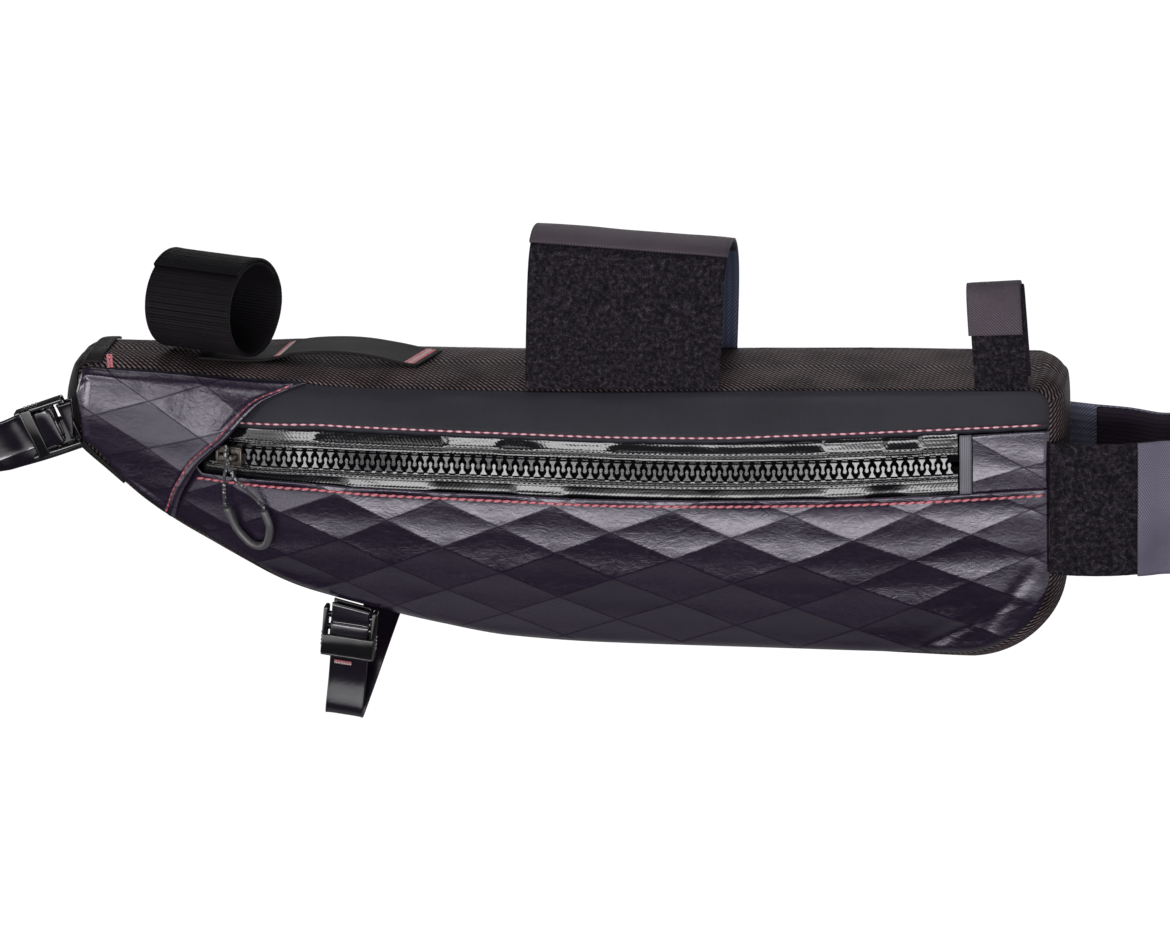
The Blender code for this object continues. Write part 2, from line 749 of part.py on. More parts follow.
def roll_loop():
    """The rolled front loop, turned about Z, and the daisy strip it rides on."""
    place = at_x(ROLL_AT)
    centre = Vector((place, -0.001, top_z(place) + 1.03 * ROLL_RADIUS + LOOP_CLOTH / 2))
    axis = Vector((math.cos(ROLL_TURN), -math.sin(ROLL_TURN), 0))
    near = Vector((-math.sin(ROLL_TURN), -math.cos(ROLL_TURN), 0))
    up = Vector((0, 0, 1))
    start, stop = 150, -302
    steps = 46
    path = []
    for i in range(steps + 1):
        turn = lerp(start, stop, i / steps)
        inner = max(0, min(1, (turn + 195) / 60))
        radius = ROLL_RADIUS - (LOOP_CLOTH + GAP) * (3 * inner**2 - 2 * inner**3)
        angle = math.radians(turn)
        squash = 1.03 if math.sin(angle) > 0 else 0.99
        path.append(
            centre + near * (radius * math.cos(angle)) + up * (radius * squash * math.sin(angle))
        )
    ribbon("front_loop", "elastic", path, axis, ROLL_WIDTH, LOOP_CLOTH, -LOOP_CLOTH / 2)
    rows = {
        "along": (0.122, 0.145, 0.173, 0.193, 0.210, 0.230, 0.262, 0.290, 0.319, 0.345, 0.361),
        "lift": (0.0, 0.0, 0.0, 0.08, 0.28, 0.52, 0.72, 0.66, 0.44, 0.16, 0.06),
    }
    line = [
        (at_x(along), 0.0, top_z(at_x(along)) + GAP + SWELL * lift)
        for along, lift in zip(rows["along"], rows["lift"])
    ]
    daisy = smooth(line, 3)
    shares = [i / (len(daisy) - 1) for i in range(len(daisy))]
    wide = [(lerp(0.0, 0.36, share), 1, 0) for share in shares]
    ribbon("daisy_strip", "elastic", daisy, wide, DAISY_WIDTH, DAISY_CLOTH)


def seat_loop():
    """The rear strap round the seat tube: pile on the shown side, the hook end lapped over it."""
    reach = REAR_X + SEAT_REACH
    side = half(REAR_X) + GAP
    tube_radius = 0.0195
    end = reach - tube_radius - 0.004
    middle = -0.0055
    near = [
        (REAR_X + GAP, -side - 0.0006, 0),
        (REAR_X + 0.012, -side - 0.0026, 0),
        (REAR_X + 0.030, -side - 0.0020, 0),
        (REAR_X + 0.046, -side * 0.94, 0),
        (end - 0.004, -side * 0.84, 0),
    ]
    turn = []
    for k in range(1, 8):
        angle = math.radians(-90 + 180 * k / 8)
        turn.append(
            (end + tube_radius * 1.05 * math.cos(angle), middle + tube_radius * math.sin(angle), 0)
        )
    lap = LOOP_CLOTH + GAP
    far = [
        (end - 0.006, side * 0.46 - lap, 0),
        (REAR_X + 0.036, side * 0.70 - lap, 0),
        (REAR_X + 0.018, side * 0.90 - 2 * lap, 0),
        (REAR_X + 0.0085, side * 0.99 - 2 * lap, 0),
        (REAR_X + 2 * GAP, side + 0.0014 - 2 * lap, 0),
    ]
    centre = -SEAT_DOWN * PANEL_HEIGHT
    route = [(x, y, centre) for x, y, z in near + turn + far]
    track = smooth(route, 3)
    wide = (0, 0, 1)
    last = max(i for i, p in enumerate(track) if p.x > REAR_X + SEAT_PILE_END)
    ribbon("seat_loop_pile", "pile", track[:last], wide, SEAT_WIDTH, LOOP_CLOTH)
    first = next(i for i, p in enumerate(track) if p.x > REAR_X + SEAT_HOOK_END)
    ribbon("seat_loop_hook", "hook", track[first:], wide, SEAT_WIDTH + 0.0006, LOOP_CLOTH, lap)


def buckle(name, place, along, across):
    """A ladder lock: two rails, two bars and a front plate; along points down the strap."""
    along = along.normalized()
    across = (across - along * across.dot(along)).normalized()
    out = along.cross(across)
    if out.y > 0:
        out = -out
    axes = (across, along, out)
    thick = BAR * 0.8
    pieces = []
    for side in (-1, 1):
        spot = place + across * (side * (BUCKLE_WIDTH - RAIL) / 2) + out * 0.0017
        pieces.append((name if side < 0 else name + "_rail", spot, (RAIL, BUCKLE_LENGTH + 2 * GAP, 0.0066)))
    top = place - along * (BUCKLE_LENGTH - BAR) / 2
    pieces.append((name + "_top", top, (BUCKLE_WIDTH - 0.001, BAR, thick)))
    pieces.append((name + "_mid", place - along * 0.001, (BUCKLE_WIDTH - 0.001, BAR, thick)))
    front_plate = place + along * (BUCKLE_LENGTH * 0.27) + out * 0.0047
    pieces.append((name + "_plate", front_plate, (BUCKLE_WIDTH - 0.0008, 0.0115, PLATE)))
    made = [block(piece, "buckle", spot, axes, size) for piece, spot, size in pieces]
    join(made[0], made[1:])
    return axes


def round_bar(place, axes, centre, way):
    """Points that lead webbing round a bar, from its front to its back, on one side of it."""
    across, along, out = axes
    reach = BAR / 2 + BAR_GAP + WEBBING_CLOTH / 2
    rise = BAR * 0.4 + BAR_GAP + WEBBING_CLOTH / 2
    made = []
    for far, high in ((0.5, 1), (0.93, 0.56), (1, 0), (0.93, -0.56), (0.5, -1)):
        made.append(place + along * (centre + way * reach * far) + out * (rise * high))
    return made


def anchor(name, place, axes, end, skew):
    """A short fold of webbing from the seam round the buckle's first bar; skew is its cut's line."""
    across, along, out = axes
    rise = BAR * 0.4 + BAR_GAP + WEBBING_CLOTH / 2
    route = [place + along * end + out * rise]
    route += round_bar(place, axes, -(BUCKLE_LENGTH - BAR) / 2, 1)
    route.append(place + along * end - out * rise)
    wide = [skew] + [across] * (len(route) - 2) + [skew]
    ribbon(name, "webbing", route, wide, WEBBING, WEBBING_CLOTH, -WEBBING_CLOTH / 2)


def strap(name, route, across, cut):
    """Webbing along a route, cut off at its far end along a line of its own."""
    track = smooth(route, 2)
    last = len(track) - 1
    wide = []
    for i in range(last + 1):
        share = max(0, 1 - (last - i) / 8)
        wide.append(Vector(across).lerp(Vector(cut), share))
    ribbon(name, "webbing", track, wide, WEBBING, WEBBING_CLOTH, -WEBBING_CLOTH / 2)


def drop_strap():
    """The webbing loop under the bag and its buckle."""
    under = at_x(DROP_AT)
    place = Vector((under, -half(under) - DROP_STAND, seam_bottom(under) - DROP_UNDER))
    along = Vector((-0.14, 0.02, -1))
    axes = buckle("drop_buckle", place, along, Vector((1, 0, -0.05)))
    across, along, out = axes
    slope = (seam_bottom(place.x + 0.01) - seam_bottom(place.x - 0.01)) / 0.02
    cut = Vector((1, 0, slope))
    anchor("drop_anchor", place, axes, -BUCKLE_LENGTH / 2 - 0.0010, cut)
    rise = BAR * 0.4 + BAR_GAP + WEBBING_CLOTH / 2
    route = [place + along * 0.010 + out * rise]
    route += round_bar(place, axes, -0.001, -1)
    low = place + along * (DROP_LENGTH - 0.016)
    route.append(place + along * 0.012 - out * rise)
    route.append(lerp(place, low, 0.6) - out * rise)
    route.append(low - out * (rise - 0.001))
    turn = low + along * 0.0035 + Vector((0, 0.0035, 0))
    route.append(turn)
    home = Vector((under + 0.0125, 0.0, 0.0))
    home.y = half(home.x) - 0.004
    share = swell_share(home.y / half(home.x))
    push = SWELL * share * read(SIDE, "swell", (home.x - NOSE_X) / PANEL_LENGTH)
    home.z = seam_bottom(home.x) - push - WEBBING_CLOTH
    rise_start = low + Vector((0.0008, 0.0072, -0.0002))
    route.append(rise_start)
    for share in (0.3, 0.65, 1.0):
        route.append(rise_start.lerp(home, share))
    strap("drop_strap", route, across, cut)


def head_strap():
    """The webbing loop round the head tube and its buckle."""
    place = Vector((NOSE_X - HEAD_OUT, -half(NOSE_X) - HEAD_STAND, -HEAD_DOWN * PANEL_HEIGHT))
    along = Vector((-0.95, -0.08, -0.32))
    axes = buckle("head_buckle", place, along, Vector((0.14, 0, -0.99)))
    across, along, out = axes
    anchor("head_anchor", place, axes, -BUCKLE_LENGTH / 2 - 0.0002, Vector((0, 0, -1)))
    rise = BAR * 0.4 + BAR_GAP + WEBBING_CLOTH / 2
    route = [place + along * 0.010 + out * rise]
    route += round_bar(place, axes, -0.001, -1)
    route.append(place + along * 0.012 - out * rise)
    level = Vector((along.x, 0, along.z)).normalized()
    start = place + along * 0.022 - out * rise
    route.append(start)
    loop = HEAD_REACH - 0.030
    bow = {
        "share": (0.30, 0.60, 0.82, 0.95, 1.0, 0.95, 0.80, 0.55, 0.30, 0.06),
        "across": (-0.004, -0.003, 0.002, 0.009, 0.017, 0.026, 0.032, 0.032, 0.030, 0.026),
        "sag": (0, 0, -0.001, -0.003, -0.005, -0.008, -0.011, -0.013, -0.014, -0.014),
    }
    for share, shift, sag in zip(bow["share"], bow["across"], bow["sag"]):
        spot = start + level * (loop * share) + Vector((0, shift, sag))
        route.append(spot)
    home = Vector((NOSE_X - 0.0098, 0.003, -0.0405))
    route.append(home)
    strap("head_strap", route, across, Vector((0.45, 0, -0.9)))


def build():
    for old in list(bpy.data.objects):
        bpy.data.objects.remove(old, do_unlink=True)
    body()
    slider()
    mid_loop()
    rear_loop()
    roll_loop()
    seat_loop()
    drop_strap()
    head_strap()


build()
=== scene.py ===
# %% [markdown]
# # A half-frame bag for a bicycle
# The bag is a tapered cloth shell: a mesh band runs all round its edge, and two stiff sides
# close it. A long zip crosses the shown side, and bands of hook tape, pile and webbing hold
# the bag inside a bicycle's frame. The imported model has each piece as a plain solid. This
# script lays real cloth, teeth, thread and buckles in the same places.

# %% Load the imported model
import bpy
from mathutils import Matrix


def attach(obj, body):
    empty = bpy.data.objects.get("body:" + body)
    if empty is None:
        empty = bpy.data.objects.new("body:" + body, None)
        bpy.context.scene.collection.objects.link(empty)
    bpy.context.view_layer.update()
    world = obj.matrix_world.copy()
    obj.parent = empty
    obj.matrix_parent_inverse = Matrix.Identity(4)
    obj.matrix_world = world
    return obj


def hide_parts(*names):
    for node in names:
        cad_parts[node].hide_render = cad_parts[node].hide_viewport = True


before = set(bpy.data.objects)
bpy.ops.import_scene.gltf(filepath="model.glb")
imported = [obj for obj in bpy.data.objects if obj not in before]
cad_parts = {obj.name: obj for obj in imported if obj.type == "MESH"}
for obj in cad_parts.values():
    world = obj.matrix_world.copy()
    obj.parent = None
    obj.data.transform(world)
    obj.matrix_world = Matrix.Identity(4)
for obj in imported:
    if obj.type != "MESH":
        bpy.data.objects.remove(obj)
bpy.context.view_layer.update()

import math
import random

import bmesh
import bpy
from mathutils import Matrix, Vector, noise

print("packed nodes:", len(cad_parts))

# %% [markdown]
# ## The camera
# A long lens far away keeps the bag's lines nearly parallel, as in a shop's photograph. The
# camera could be aimed with a constraint, but its four columns written out say exactly where
# its right, its up and its back point, and its small roll is easy to add.

# %% Camera
AIM = Vector((0.00862, 0, -0.05662))
DISTANCE = 2.2
LENS = 132.73
turn, rise, roll = (math.radians(angle) for angle in (10, 20, 2.5))
behind = Vector((math.sin(turn) * math.cos(rise), -math.cos(turn) * math.cos(rise), math.sin(rise)))
level = Vector((math.cos(turn), math.sin(turn), 0))
upward = behind.cross(level)
right = level * math.cos(roll) - upward * math.sin(roll)
over = upward * math.cos(roll) + level * math.sin(roll)
lens = bpy.data.cameras.new("camera")
lens.lens = LENS
lens.sensor_width = 36
camera = bpy.data.objects.new("camera", lens)
camera.matrix_world = Matrix((right, over, behind)).transposed().to_4x4()
camera.matrix_world.translation = AIM + behind * DISTANCE
bpy.context.scene.collection.objects.link(camera)
bpy.context.scene.camera = camera
print("camera at", [round(value, 3) for value in camera.matrix_world.translation])

# %% [markdown]
# ## Making shader nodes
# Every finish below is a small net of nodes. Two helpers keep that short: one adds a node and
# sets its values, and one adds a sum. A third starts a group, which is an effect that several
# finishes share.


# %% Helpers for shader nodes
def put(tree, kind, **settings):
    """Adds a shader node; a setting is an input's value or one of the node's own."""
    made = tree.nodes.new("ShaderNode" + kind)
    for key, value in settings.items():
        label = key.replace("_", " ")
        if label in made.inputs:
            if hasattr(value, "node"):
                tree.links.new(value, made.inputs[label])
            else:
                made.inputs[label].default_value = value
        else:
            setattr(made, key, value)
    return made


def calc(tree, operation, *terms):
    made = tree.nodes.new("ShaderNodeMath")
    made.operation = operation
    for socket, term in zip(made.inputs, terms):
        if isinstance(term, (int, float)):
            socket.default_value = term
        else:
            tree.links.new(term, socket)
    return made.outputs[0]


def effect(name, inputs, outputs):
    """Starts a group: its tree, its inputs by name, and a function that wires its outputs."""
    tree = bpy.data.node_groups.new(name, "ShaderNodeTree")
    for label, kind in inputs:
        tree.interface.new_socket(label, in_out="INPUT", socket_type="NodeSocket" + kind)
    for label, kind in outputs:
        tree.interface.new_socket(label, in_out="OUTPUT", socket_type="NodeSocket" + kind)
    start = tree.nodes.new("NodeGroupInput")
    stop = tree.nodes.new("NodeGroupOutput")
    return tree, start.outputs, lambda label, socket: tree.links.new(socket, stop.inputs[label])


def use(tree, made, **settings):
    """Places a group in a material's tree."""
    holder = put(tree, "Group")
    holder.node_tree = made
    for key, value in settings.items():
        socket = holder.inputs[key.replace("_", " ")]
        if hasattr(value, "node"):
            tree.links.new(value, socket)
        else:
            socket.default_value = value
    return holder.outputs


# %% [markdown]
# ## The studio
# A pale floor lies far under the bag. One long box of light stands low behind the camera, and
# a weaker one hangs above it. The side's upper facets lean back and mirror the box, while its
# middle leans forward and mirrors the floor in front. A product studio darkens that strip of
# the floor with black card. Here the floor answers mirror rays with its own tone for each
# distance from the bag, which does the same with no card in the picture. The flap at the nose
# is turned aside, so a small lamp of its own stands far to the left.

# %% Floor
FLOOR_Z = -0.42
FLOOR_SIZE = 9
CARD_REACH = 3.0
FLOOR_TONES = {
    "reach": (0.0, 0.50, 0.60, 0.92, 1.25, 2.6),
    "tone": (0.15, 0.11, 0.010, 0.010, 0.46, 0.72),
}
stage = bpy.context.scene
stage.view_settings.view_transform = "Standard"
bm = bmesh.new()
bmesh.ops.create_grid(bm, x_segments=1, y_segments=1, size=FLOOR_SIZE)
bmesh.ops.translate(bm, verts=bm.verts, vec=(0, 0, FLOOR_Z))
floor_mesh = bpy.data.meshes.new("floor")
bm.to_mesh(floor_mesh)
bm.free()
floor = bpy.data.objects.new("floor", floor_mesh)
stage.collection.objects.link(floor)
paint = bpy.data.materials.new("floor_paint")
paint.use_nodes = True
tree = paint.node_tree
tree.nodes.clear()
path = put(tree, "LightPath")
away = put(tree, "VectorMath", operation="LENGTH")
tree.links.new(put(tree, "NewGeometry").outputs["Position"], away.inputs[0])
card = put(tree, "ValToRGB")
while len(card.color_ramp.elements) < len(FLOOR_TONES["reach"]):
    card.color_ramp.elements.new(0.5)
for stop, reach, tone in zip(card.color_ramp.elements, *FLOOR_TONES.values()):
    stop.position = reach / CARD_REACH
    stop.color = (tone, tone, tone, 1)
tree.links.new(calc(tree, "DIVIDE", away.outputs["Value"], CARD_REACH), card.inputs["Fac"])
shown = put(tree, "MixRGB", Color1=card.outputs[0], Color2=(0.25, 0.25, 0.25, 1))
tree.links.new(path.outputs["Is Camera Ray"], shown.inputs["Fac"])
glow = put(tree, "Emission", Color=shown.outputs[0], Strength=4.2)
matt = put(tree, "BsdfDiffuse", Color=(0.55, 0.55, 0.55, 1))
lit = calc(tree, "MAXIMUM", path.outputs["Is Camera Ray"], path.outputs["Is Glossy Ray"])
blend = put(tree, "MixShader")
tree.links.new(lit, blend.inputs[0])
tree.links.new(matt.outputs[0], blend.inputs[1])
tree.links.new(glow.outputs[0], blend.inputs[2])
tree.links.new(blend.outputs[0], put(tree, "OutputMaterial").inputs[0])
floor_mesh.materials.append(paint)
print("floor at", FLOOR_Z, "m, with", len(FLOOR_TONES["reach"]), "tones")

# %% Air and lamps
sky = bpy.data.worlds.new("studio")
stage.world = sky
sky.use_nodes = True
tree = sky.node_tree
tree.nodes.clear()
path = put(tree, "LightPath")
air = put(tree, "MixRGB", Color1=(0.10, 0.10, 0.105, 1), Color2=(1.0, 1.0, 1.0, 1))
tree.links.new(path.outputs["Is Camera Ray"], air.inputs["Fac"])
glow = put(tree, "Background", Color=air.outputs[0])
tree.links.new(glow.outputs[0], put(tree, "OutputWorld").inputs[0])

LAMPS = {
    "name": ("front_box", "upper_box", "top_box", "flap_box", "left_box", "right_box", "rear_box"),
    "place": ((0.1, -2.7, 0.02), (0.2, -1.9, 1.9), (0, 0.2, 1.7), (-1.41, -1.78, 0.54), (-2.2, -0.5, 0.5),
              (2.2, -0.3, 0.5), (0, 2.6, 0.9)),
    "size": ((2.5, 0.72), (2.0, 0.8), (1.8, 1.0), (0.62, 0.9), (0.5, 1.2), (0.5, 1.2), (2.0, 1.2)),
    "power": (64, 12, 14, 14, 2.5, 8, 26),
}
for name, place, size, power in zip(*LAMPS.values()):
    lamp = bpy.data.lights.new(name, "AREA")
    lamp.shape = "RECTANGLE"
    lamp.size, lamp.size_y = size
    lamp.energy = power
    holder = bpy.data.objects.new(name, lamp)
    holder.rotation_euler = (AIM - Vector(place)).to_track_quat("-Z", "Y").to_euler()
    holder.location = place
    holder.visible_camera = False
    stage.collection.objects.link(holder)
print("lamps:", len(LAMPS["name"]))

# %% [markdown]
# ## Named sizes of the bag
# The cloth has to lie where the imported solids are, so the same few sizes and tables shape it:
# the side's outline, the top edge, the bag's width, the zip's lines and the flap. Most table
# columns hold shares of a named size, and are read on a smooth curve.

# %% Sizes and tables
PANEL_LENGTH = 0.494
PANEL_HEIGHT = 0.140
DEPTH = 0.065
NOSE_X = -0.2475
REAR_X = NOSE_X + PANEL_LENGTH
CROWN = 0.017
BACK_CROWN = 0.005
SWELL = 0.010
NOSE_CORNER = 0.006
REAR_CORNER = 0.009
TAIL_CORNER = 0.046
REAR_SWELL = 0.0075
PANEL_CLOTH = 0.0012
GUSSET_CLOTH = 0.0016
SEAM_GAP = 0.0005
GAP = 0.0003
CHAIN_WIDTH = 0.0108
TOOTH_PITCH = 0.0054
FOLD_LAP = 0.003

SIDE = {
    "along": (0, 0.012, 0.034, 0.075, 0.14, 0.22, 0.30, 0.37, 0.445, 0.54, 0.75, 0.88, 1),
    "bottom": (0.262, 0.297, 0.388, 0.516, 0.648, 0.786, 0.868, 0.925, 0.970, 0.988, 0.996, 1, 1),
    "swell": (0.70, 0.68, 0.64, 0.60, 0.60, 0.58, 0.48, 0.26, 0.16, 0.18, 0.28, 0.66, 0.74),
}
TOP = {
    "along": (0, 0.05, 0.12, 0.175, 0.225, 0.262, 0.33, 0.50, 0.70, 0.85, 1),
    "drop": (-0.25, -0.20, -0.12, -0.04, -0.05, 0.22, 0.32, 0.36, 0.18, 0.08, 0.06),
    "rise": (0.60, 0.52, 0.34, 0.20, 0.12, 0, 0, 0, 0, 0, 0),
}
WIDTH = {
    "along": (0, 0.10, 0.24, 0.78, 1),
    "width": (0.615, 0.74, 1, 1, 0.92),
}
ZIP = {
    "along": (0, 0.18, 0.245, 0.30, 0.45, 0.57, 0.65, 0.75, 0.85, 1),
    "upper": (0.10, 0.146, 0.142, 0.148, 0.162, 0.170, 0.169, 0.157, 0.144, 0.128),
    "chain": (0.24, 0.266, 0.264, 0.268, 0.278, 0.287, 0.289, 0.284, 0.274, 0.26),
    "lower": (0.36, 0.372, 0.374, 0.385, 0.400, 0.411, 0.410, 0.406, 0.401, 0.391),
}
FLAP = {
    "down": (0, 0.085, 0.178, 0.30, 0.396, 0.497, 0.628, 0.76, 0.894, 1),
    "along": (0.246, 0.202, 0.182, 0.162, 0.145, 0.130, 0.117, 0.106, 0.098, 0.092),
    "lift": (0.0008, 0.0024, 0.0036, 0.0044, 0.0046, 0.0044, 0.0038, 0.003, 0.0018, 0.0008),
}
ZIP_START = 0.132
CHAIN_START = 0.150
CHAIN_END = 0.911
SLIDER_AT = 0.1655


# %% Reading the tables
def read(table, name, at, key="along"):
    """The column's value at a place in the table, on a smooth curve with no overshoot."""
    xs, ys = table[key], table[name]
    at = min(max(at, xs[0]), xs[-1])
    i = 0
    while i < len(xs) - 2 and at > xs[i + 1]:
        i += 1

    def secant(k):
        return (ys[k + 1] - ys[k]) / (xs[k + 1] - xs[k])

    def slope(k):
        if k in (0, len(xs) - 1):
            return secant(min(k, len(xs) - 2))
        a, b = secant(k - 1), secant(k)
        return 0 if a * b <= 0 else 2 * a * b / (a + b)

    h = xs[i + 1] - xs[i]
    t = (at - xs[i]) / h
    return (
        (2 * t**3 - 3 * t**2 + 1) * ys[i]
        + (t**3 - 2 * t**2 + t) * h * slope(i)
        + (3 * t**2 - 2 * t**3) * ys[i + 1]
        + (t**3 - t**2) * h * slope(i + 1)
    )


def lerp(a, b, t):
    return a + (b - a) * t


def ease(t):
    """0 before 0, 1 after 1, and a soft S between."""
    t = min(max(t, 0), 1)
    return t * t * (3 - 2 * t)


def at_x(along):
    return NOSE_X + PANEL_LENGTH * along


def half(x):
    """Half the bag's depth at a place along it."""
    return DEPTH / 2 * read(WIDTH, "width", (x - NOSE_X) / PANEL_LENGTH)


def seam_top(x):
    """The side's top edge, rounded at the nose and the rear."""

    def plain(at):
        return -SWELL * read(TOP, "drop", (at - NOSE_X) / PANEL_LENGTH)

    for corner, start, way in (
        (REAR_CORNER, REAR_X - REAR_CORNER, 1),
        (NOSE_CORNER, NOSE_X + NOSE_CORNER, -1),
    ):
        past = way * (x - start)
        if past > 0:
            return plain(start) - corner + math.sqrt(max(0, corner**2 - past**2))
    return plain(x)


def seam_bottom(x):
    """The side's bottom edge, with its round tail corner."""
    start = REAR_X - TAIL_CORNER
    if x <= start:
        return -PANEL_HEIGHT * read(SIDE, "bottom", (x - NOSE_X) / PANEL_LENGTH)
    low = -PANEL_HEIGHT * read(SIDE, "bottom", (start - NOSE_X) / PANEL_LENGTH)
    return low + TAIL_CORNER - math.sqrt(max(0, TAIL_CORNER**2 - (x - start) ** 2))


def crown(along, down):
    """The share of the side's swell: 0 at its edges and 1 in its middle."""
    return (1 - abs(2 * along - 1) ** 2.6) * (1 - abs(2 * down - 1) ** 2.2)


def front(along, down, sink):
    """A point of the shown side: shares along and down it, and a depth under its outer face."""
    x = at_x(along)
    z = lerp(seam_top(x), seam_bottom(x), down)
    return Vector((x, -half(x) - SEAM_GAP - PANEL_CLOTH - CROWN * crown(along, down) + sink, z))


def rear_side(along, down, sink):
    x = at_x(along)
    z = lerp(seam_top(x), seam_bottom(x), down)
    return Vector((x, half(x) + SEAM_GAP + PANEL_CLOTH + BACK_CROWN * crown(along, down) - sink, z))


def down_of(along, z):
    """The share of the way down the side at a height."""
    x = at_x(along)
    top = seam_top(x)
    return min(max((top - z) / (top - seam_bottom(x)), 0), 1)


def front_at(x, z, sink):
    along = (x - NOSE_X) / PANEL_LENGTH
    return front(along, down_of(along, z), sink)


def zip_line(along, name, shift=0.0):
    """The share of the way down to a line of the zip, or to a shift below it."""
    return down_of(along, -PANEL_HEIGHT * read(ZIP, name, along) - shift)


def top_z(x):
    """The height of the top band's middle."""
    return SWELL * read(TOP, "rise", (x - NOSE_X) / PANEL_LENGTH)


print("side runs from", round(NOSE_X, 4), "to", round(REAR_X, 4), "m")

# %% [markdown]
# ## Laying cloth
# A piece of cloth starts as a flat grid, keeps that flat state as its UV map in metres, and is
# then laid: each point moves to its place on the bag. The weave follows the UV map, so it
# bends with the cloth as real threads do. Thickness comes last, from a Solidify modifier.
# The grid could be a plane subdivided by hand, but one call gives both the points and the
# flat map. A sheet's wall grows inwards from its shown face, so each sheet is first turned to
# face the right way.


# %% Helpers for cloth
def shake(place, scale, seed):
    """A soft bump between -1 and 1 that changes over about 1/scale metres."""
    return noise.noise(Vector(place) * scale + Vector((seed, seed * 1.7, -seed)))


def ridge(off, size, wide):
    """A height that is size at 0 and fades on both sides within about wide."""
    return size * math.exp(-((off / wide) ** 2))


def flat_cloth(cells_long, cells_wide):
    bm = bmesh.new()
    bmesh.ops.create_grid(bm, x_segments=cells_long, y_segments=cells_wide, size=0.5)
    bmesh.ops.translate(bm, verts=bm.verts, vec=(0.5, 0.5, 0))
    return bm


def lay(bm, size, place):
    """Keeps the flat state as a UV map in metres, and moves each point to its place."""
    flat = bm.loops.layers.uv.new("weave")
    for face in bm.faces:
        for corner in face.loops:
            spot = corner.vert.co
            corner[flat].uv = (spot.x * size[0], spot.y * size[1])
    for vert in bm.verts:
        vert.co = place(vert.co.x, vert.co.y)


SHOWN = Vector((0, -1, 0))


def face_towards(bm, way):
    """Turns an open sheet so that its faces look one way."""
    bm.normal_update()
    if sum(face.normal.dot(way) for face in bm.faces) < 0:
        bmesh.ops.reverse_faces(bm, faces=bm.faces)


def piece(bm, name, looks, nodes=(), thick=0.0):
    """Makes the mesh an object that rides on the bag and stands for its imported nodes."""
    mesh = bpy.data.meshes.new(name)
    bm.to_mesh(mesh)
    bm.free()
    for look in looks:
        mesh.materials.append(look)
    mesh.shade_smooth()
    made = bpy.data.objects.new(name, mesh)
    bpy.context.scene.collection.objects.link(made)
    if thick:
        wall = made.modifiers.new("wall", "SOLIDIFY")
        wall.thickness = thick
        wall.offset = -1
        wall.use_rim = True
        wall.material_offset = len(looks) - 1
    if nodes:
        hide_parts(*nodes)
    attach(made, "root")
    print(name, len(mesh.polygons), "faces")
    return made


def bend(a, b, c, d, t):
    """A place between b and c on the smooth curve through four points or numbers."""
    return 0.5 * (2 * b + (c - a) * t + (2 * a - 5 * b + 4 * c - d) * t**2 + (3 * b - a - 3 * c + d) * t**3)


def smooth(points, steps):
    """A curve through the points, with steps pieces between each two."""
    path = [Vector(p) for p in points]
    ends = [2 * path[0] - path[1], *path, 2 * path[-1] - path[-2]]
    made = []
    for i in range(1, len(ends) - 2):
        made += [bend(*ends[i - 1 : i + 3], step / steps) for step in range(steps)]
    made.append(path[-1])
    return made


def tangents(path):
    """The way of the path at each of its places."""
    last = len(path) - 1
    return [(path[min(i + 1, last)] - path[max(i - 1, 0)]).normalized() for i in range(last + 1)]


def path_length(path):
    return sum((b - a).length for a, b in zip(path, path[1:]))


# %% [markdown]
# ## Shared surface effects
# Three effects come back in many finishes. Threads crossing over and under give a weave, and
# its colour is darker in the hollows between the threads: painted shade. Soft crumples break up a
# sheen. Facets give each diamond of the laminate its own random tone, a painted sheen for each
# facet, and mark the thread lines between them. Each is a group, so a finish only sets its numbers.

# %% Weave effect
weave, given, send = effect(
    "weave",
    (("Place", "Vector"), ("Threads", "Float"), ("Slant", "Float"), ("Cross", "Float")),
    (("Height", "Float"), ("Shade", "Float")),
)
parts = put(weave, "SeparateXYZ", Vector=given["Place"]).outputs
along = calc(weave, "MULTIPLY", parts[0], given["Threads"])
across = calc(weave, "MULTIPLY", parts[1], given["Threads"])
leaned = calc(weave, "ADD", along, calc(weave, "MULTIPLY", across, given["Slant"]))
cord_wave = calc(weave, "SINE", calc(weave, "MULTIPLY", leaned, 2 * math.pi))
cross_wave = calc(
    weave, "SINE", calc(weave, "MULTIPLY", calc(weave, "MULTIPLY", across, given["Cross"]), 2 * math.pi)
)
raised = calc(weave, "MULTIPLY_ADD", cord_wave, 0.5, 0.5)
broken = calc(weave, "MULTIPLY_ADD", cross_wave, 0.22, 0.78)
height = calc(weave, "MULTIPLY", raised, broken)
send("Height", height)
# The colour follows the weave's height, so it is darker in the hollows between the threads. This is partly
# the weave's own pattern and partly painted shade.
send("Shade", calc(weave, "POWER", height, 1.6))

# %% Crumple effect
crumple, given, send = effect(
    "crumple",
    (("Place", "Vector"), ("Scale", "Float")),
    (("Height", "Float"), ("Mask", "Float")),
)
broad = put(crumple, "TexNoise", Vector=given["Place"], Scale=given["Scale"], Detail=4.0)
fold_place = put(crumple, "VectorMath", operation="MULTIPLY")
crumple.links.new(given["Place"], fold_place.inputs[0])
fold_place.inputs[1].default_value = (1.0, 1.0, 2.3)
folds = put(crumple, "TexNoise", Vector=fold_place.outputs[0], Detail=5.0, Distortion=1.2)
crumple.links.new(calc(crumple, "MULTIPLY", given["Scale"], 2.6), folds.inputs["Scale"])
crease = calc(crumple, "ABSOLUTE", calc(crumple, "SUBTRACT", folds.outputs[0], 0.5))
past = calc(crumple, "MINIMUM", calc(crumple, "MULTIPLY", crease, 9.0), 1.0)
sharp = calc(crumple, "SUBTRACT", 1.0, past)
send("Height", calc(crumple, "ADD", broad.outputs[0], calc(crumple, "MULTIPLY", sharp, 0.05)))
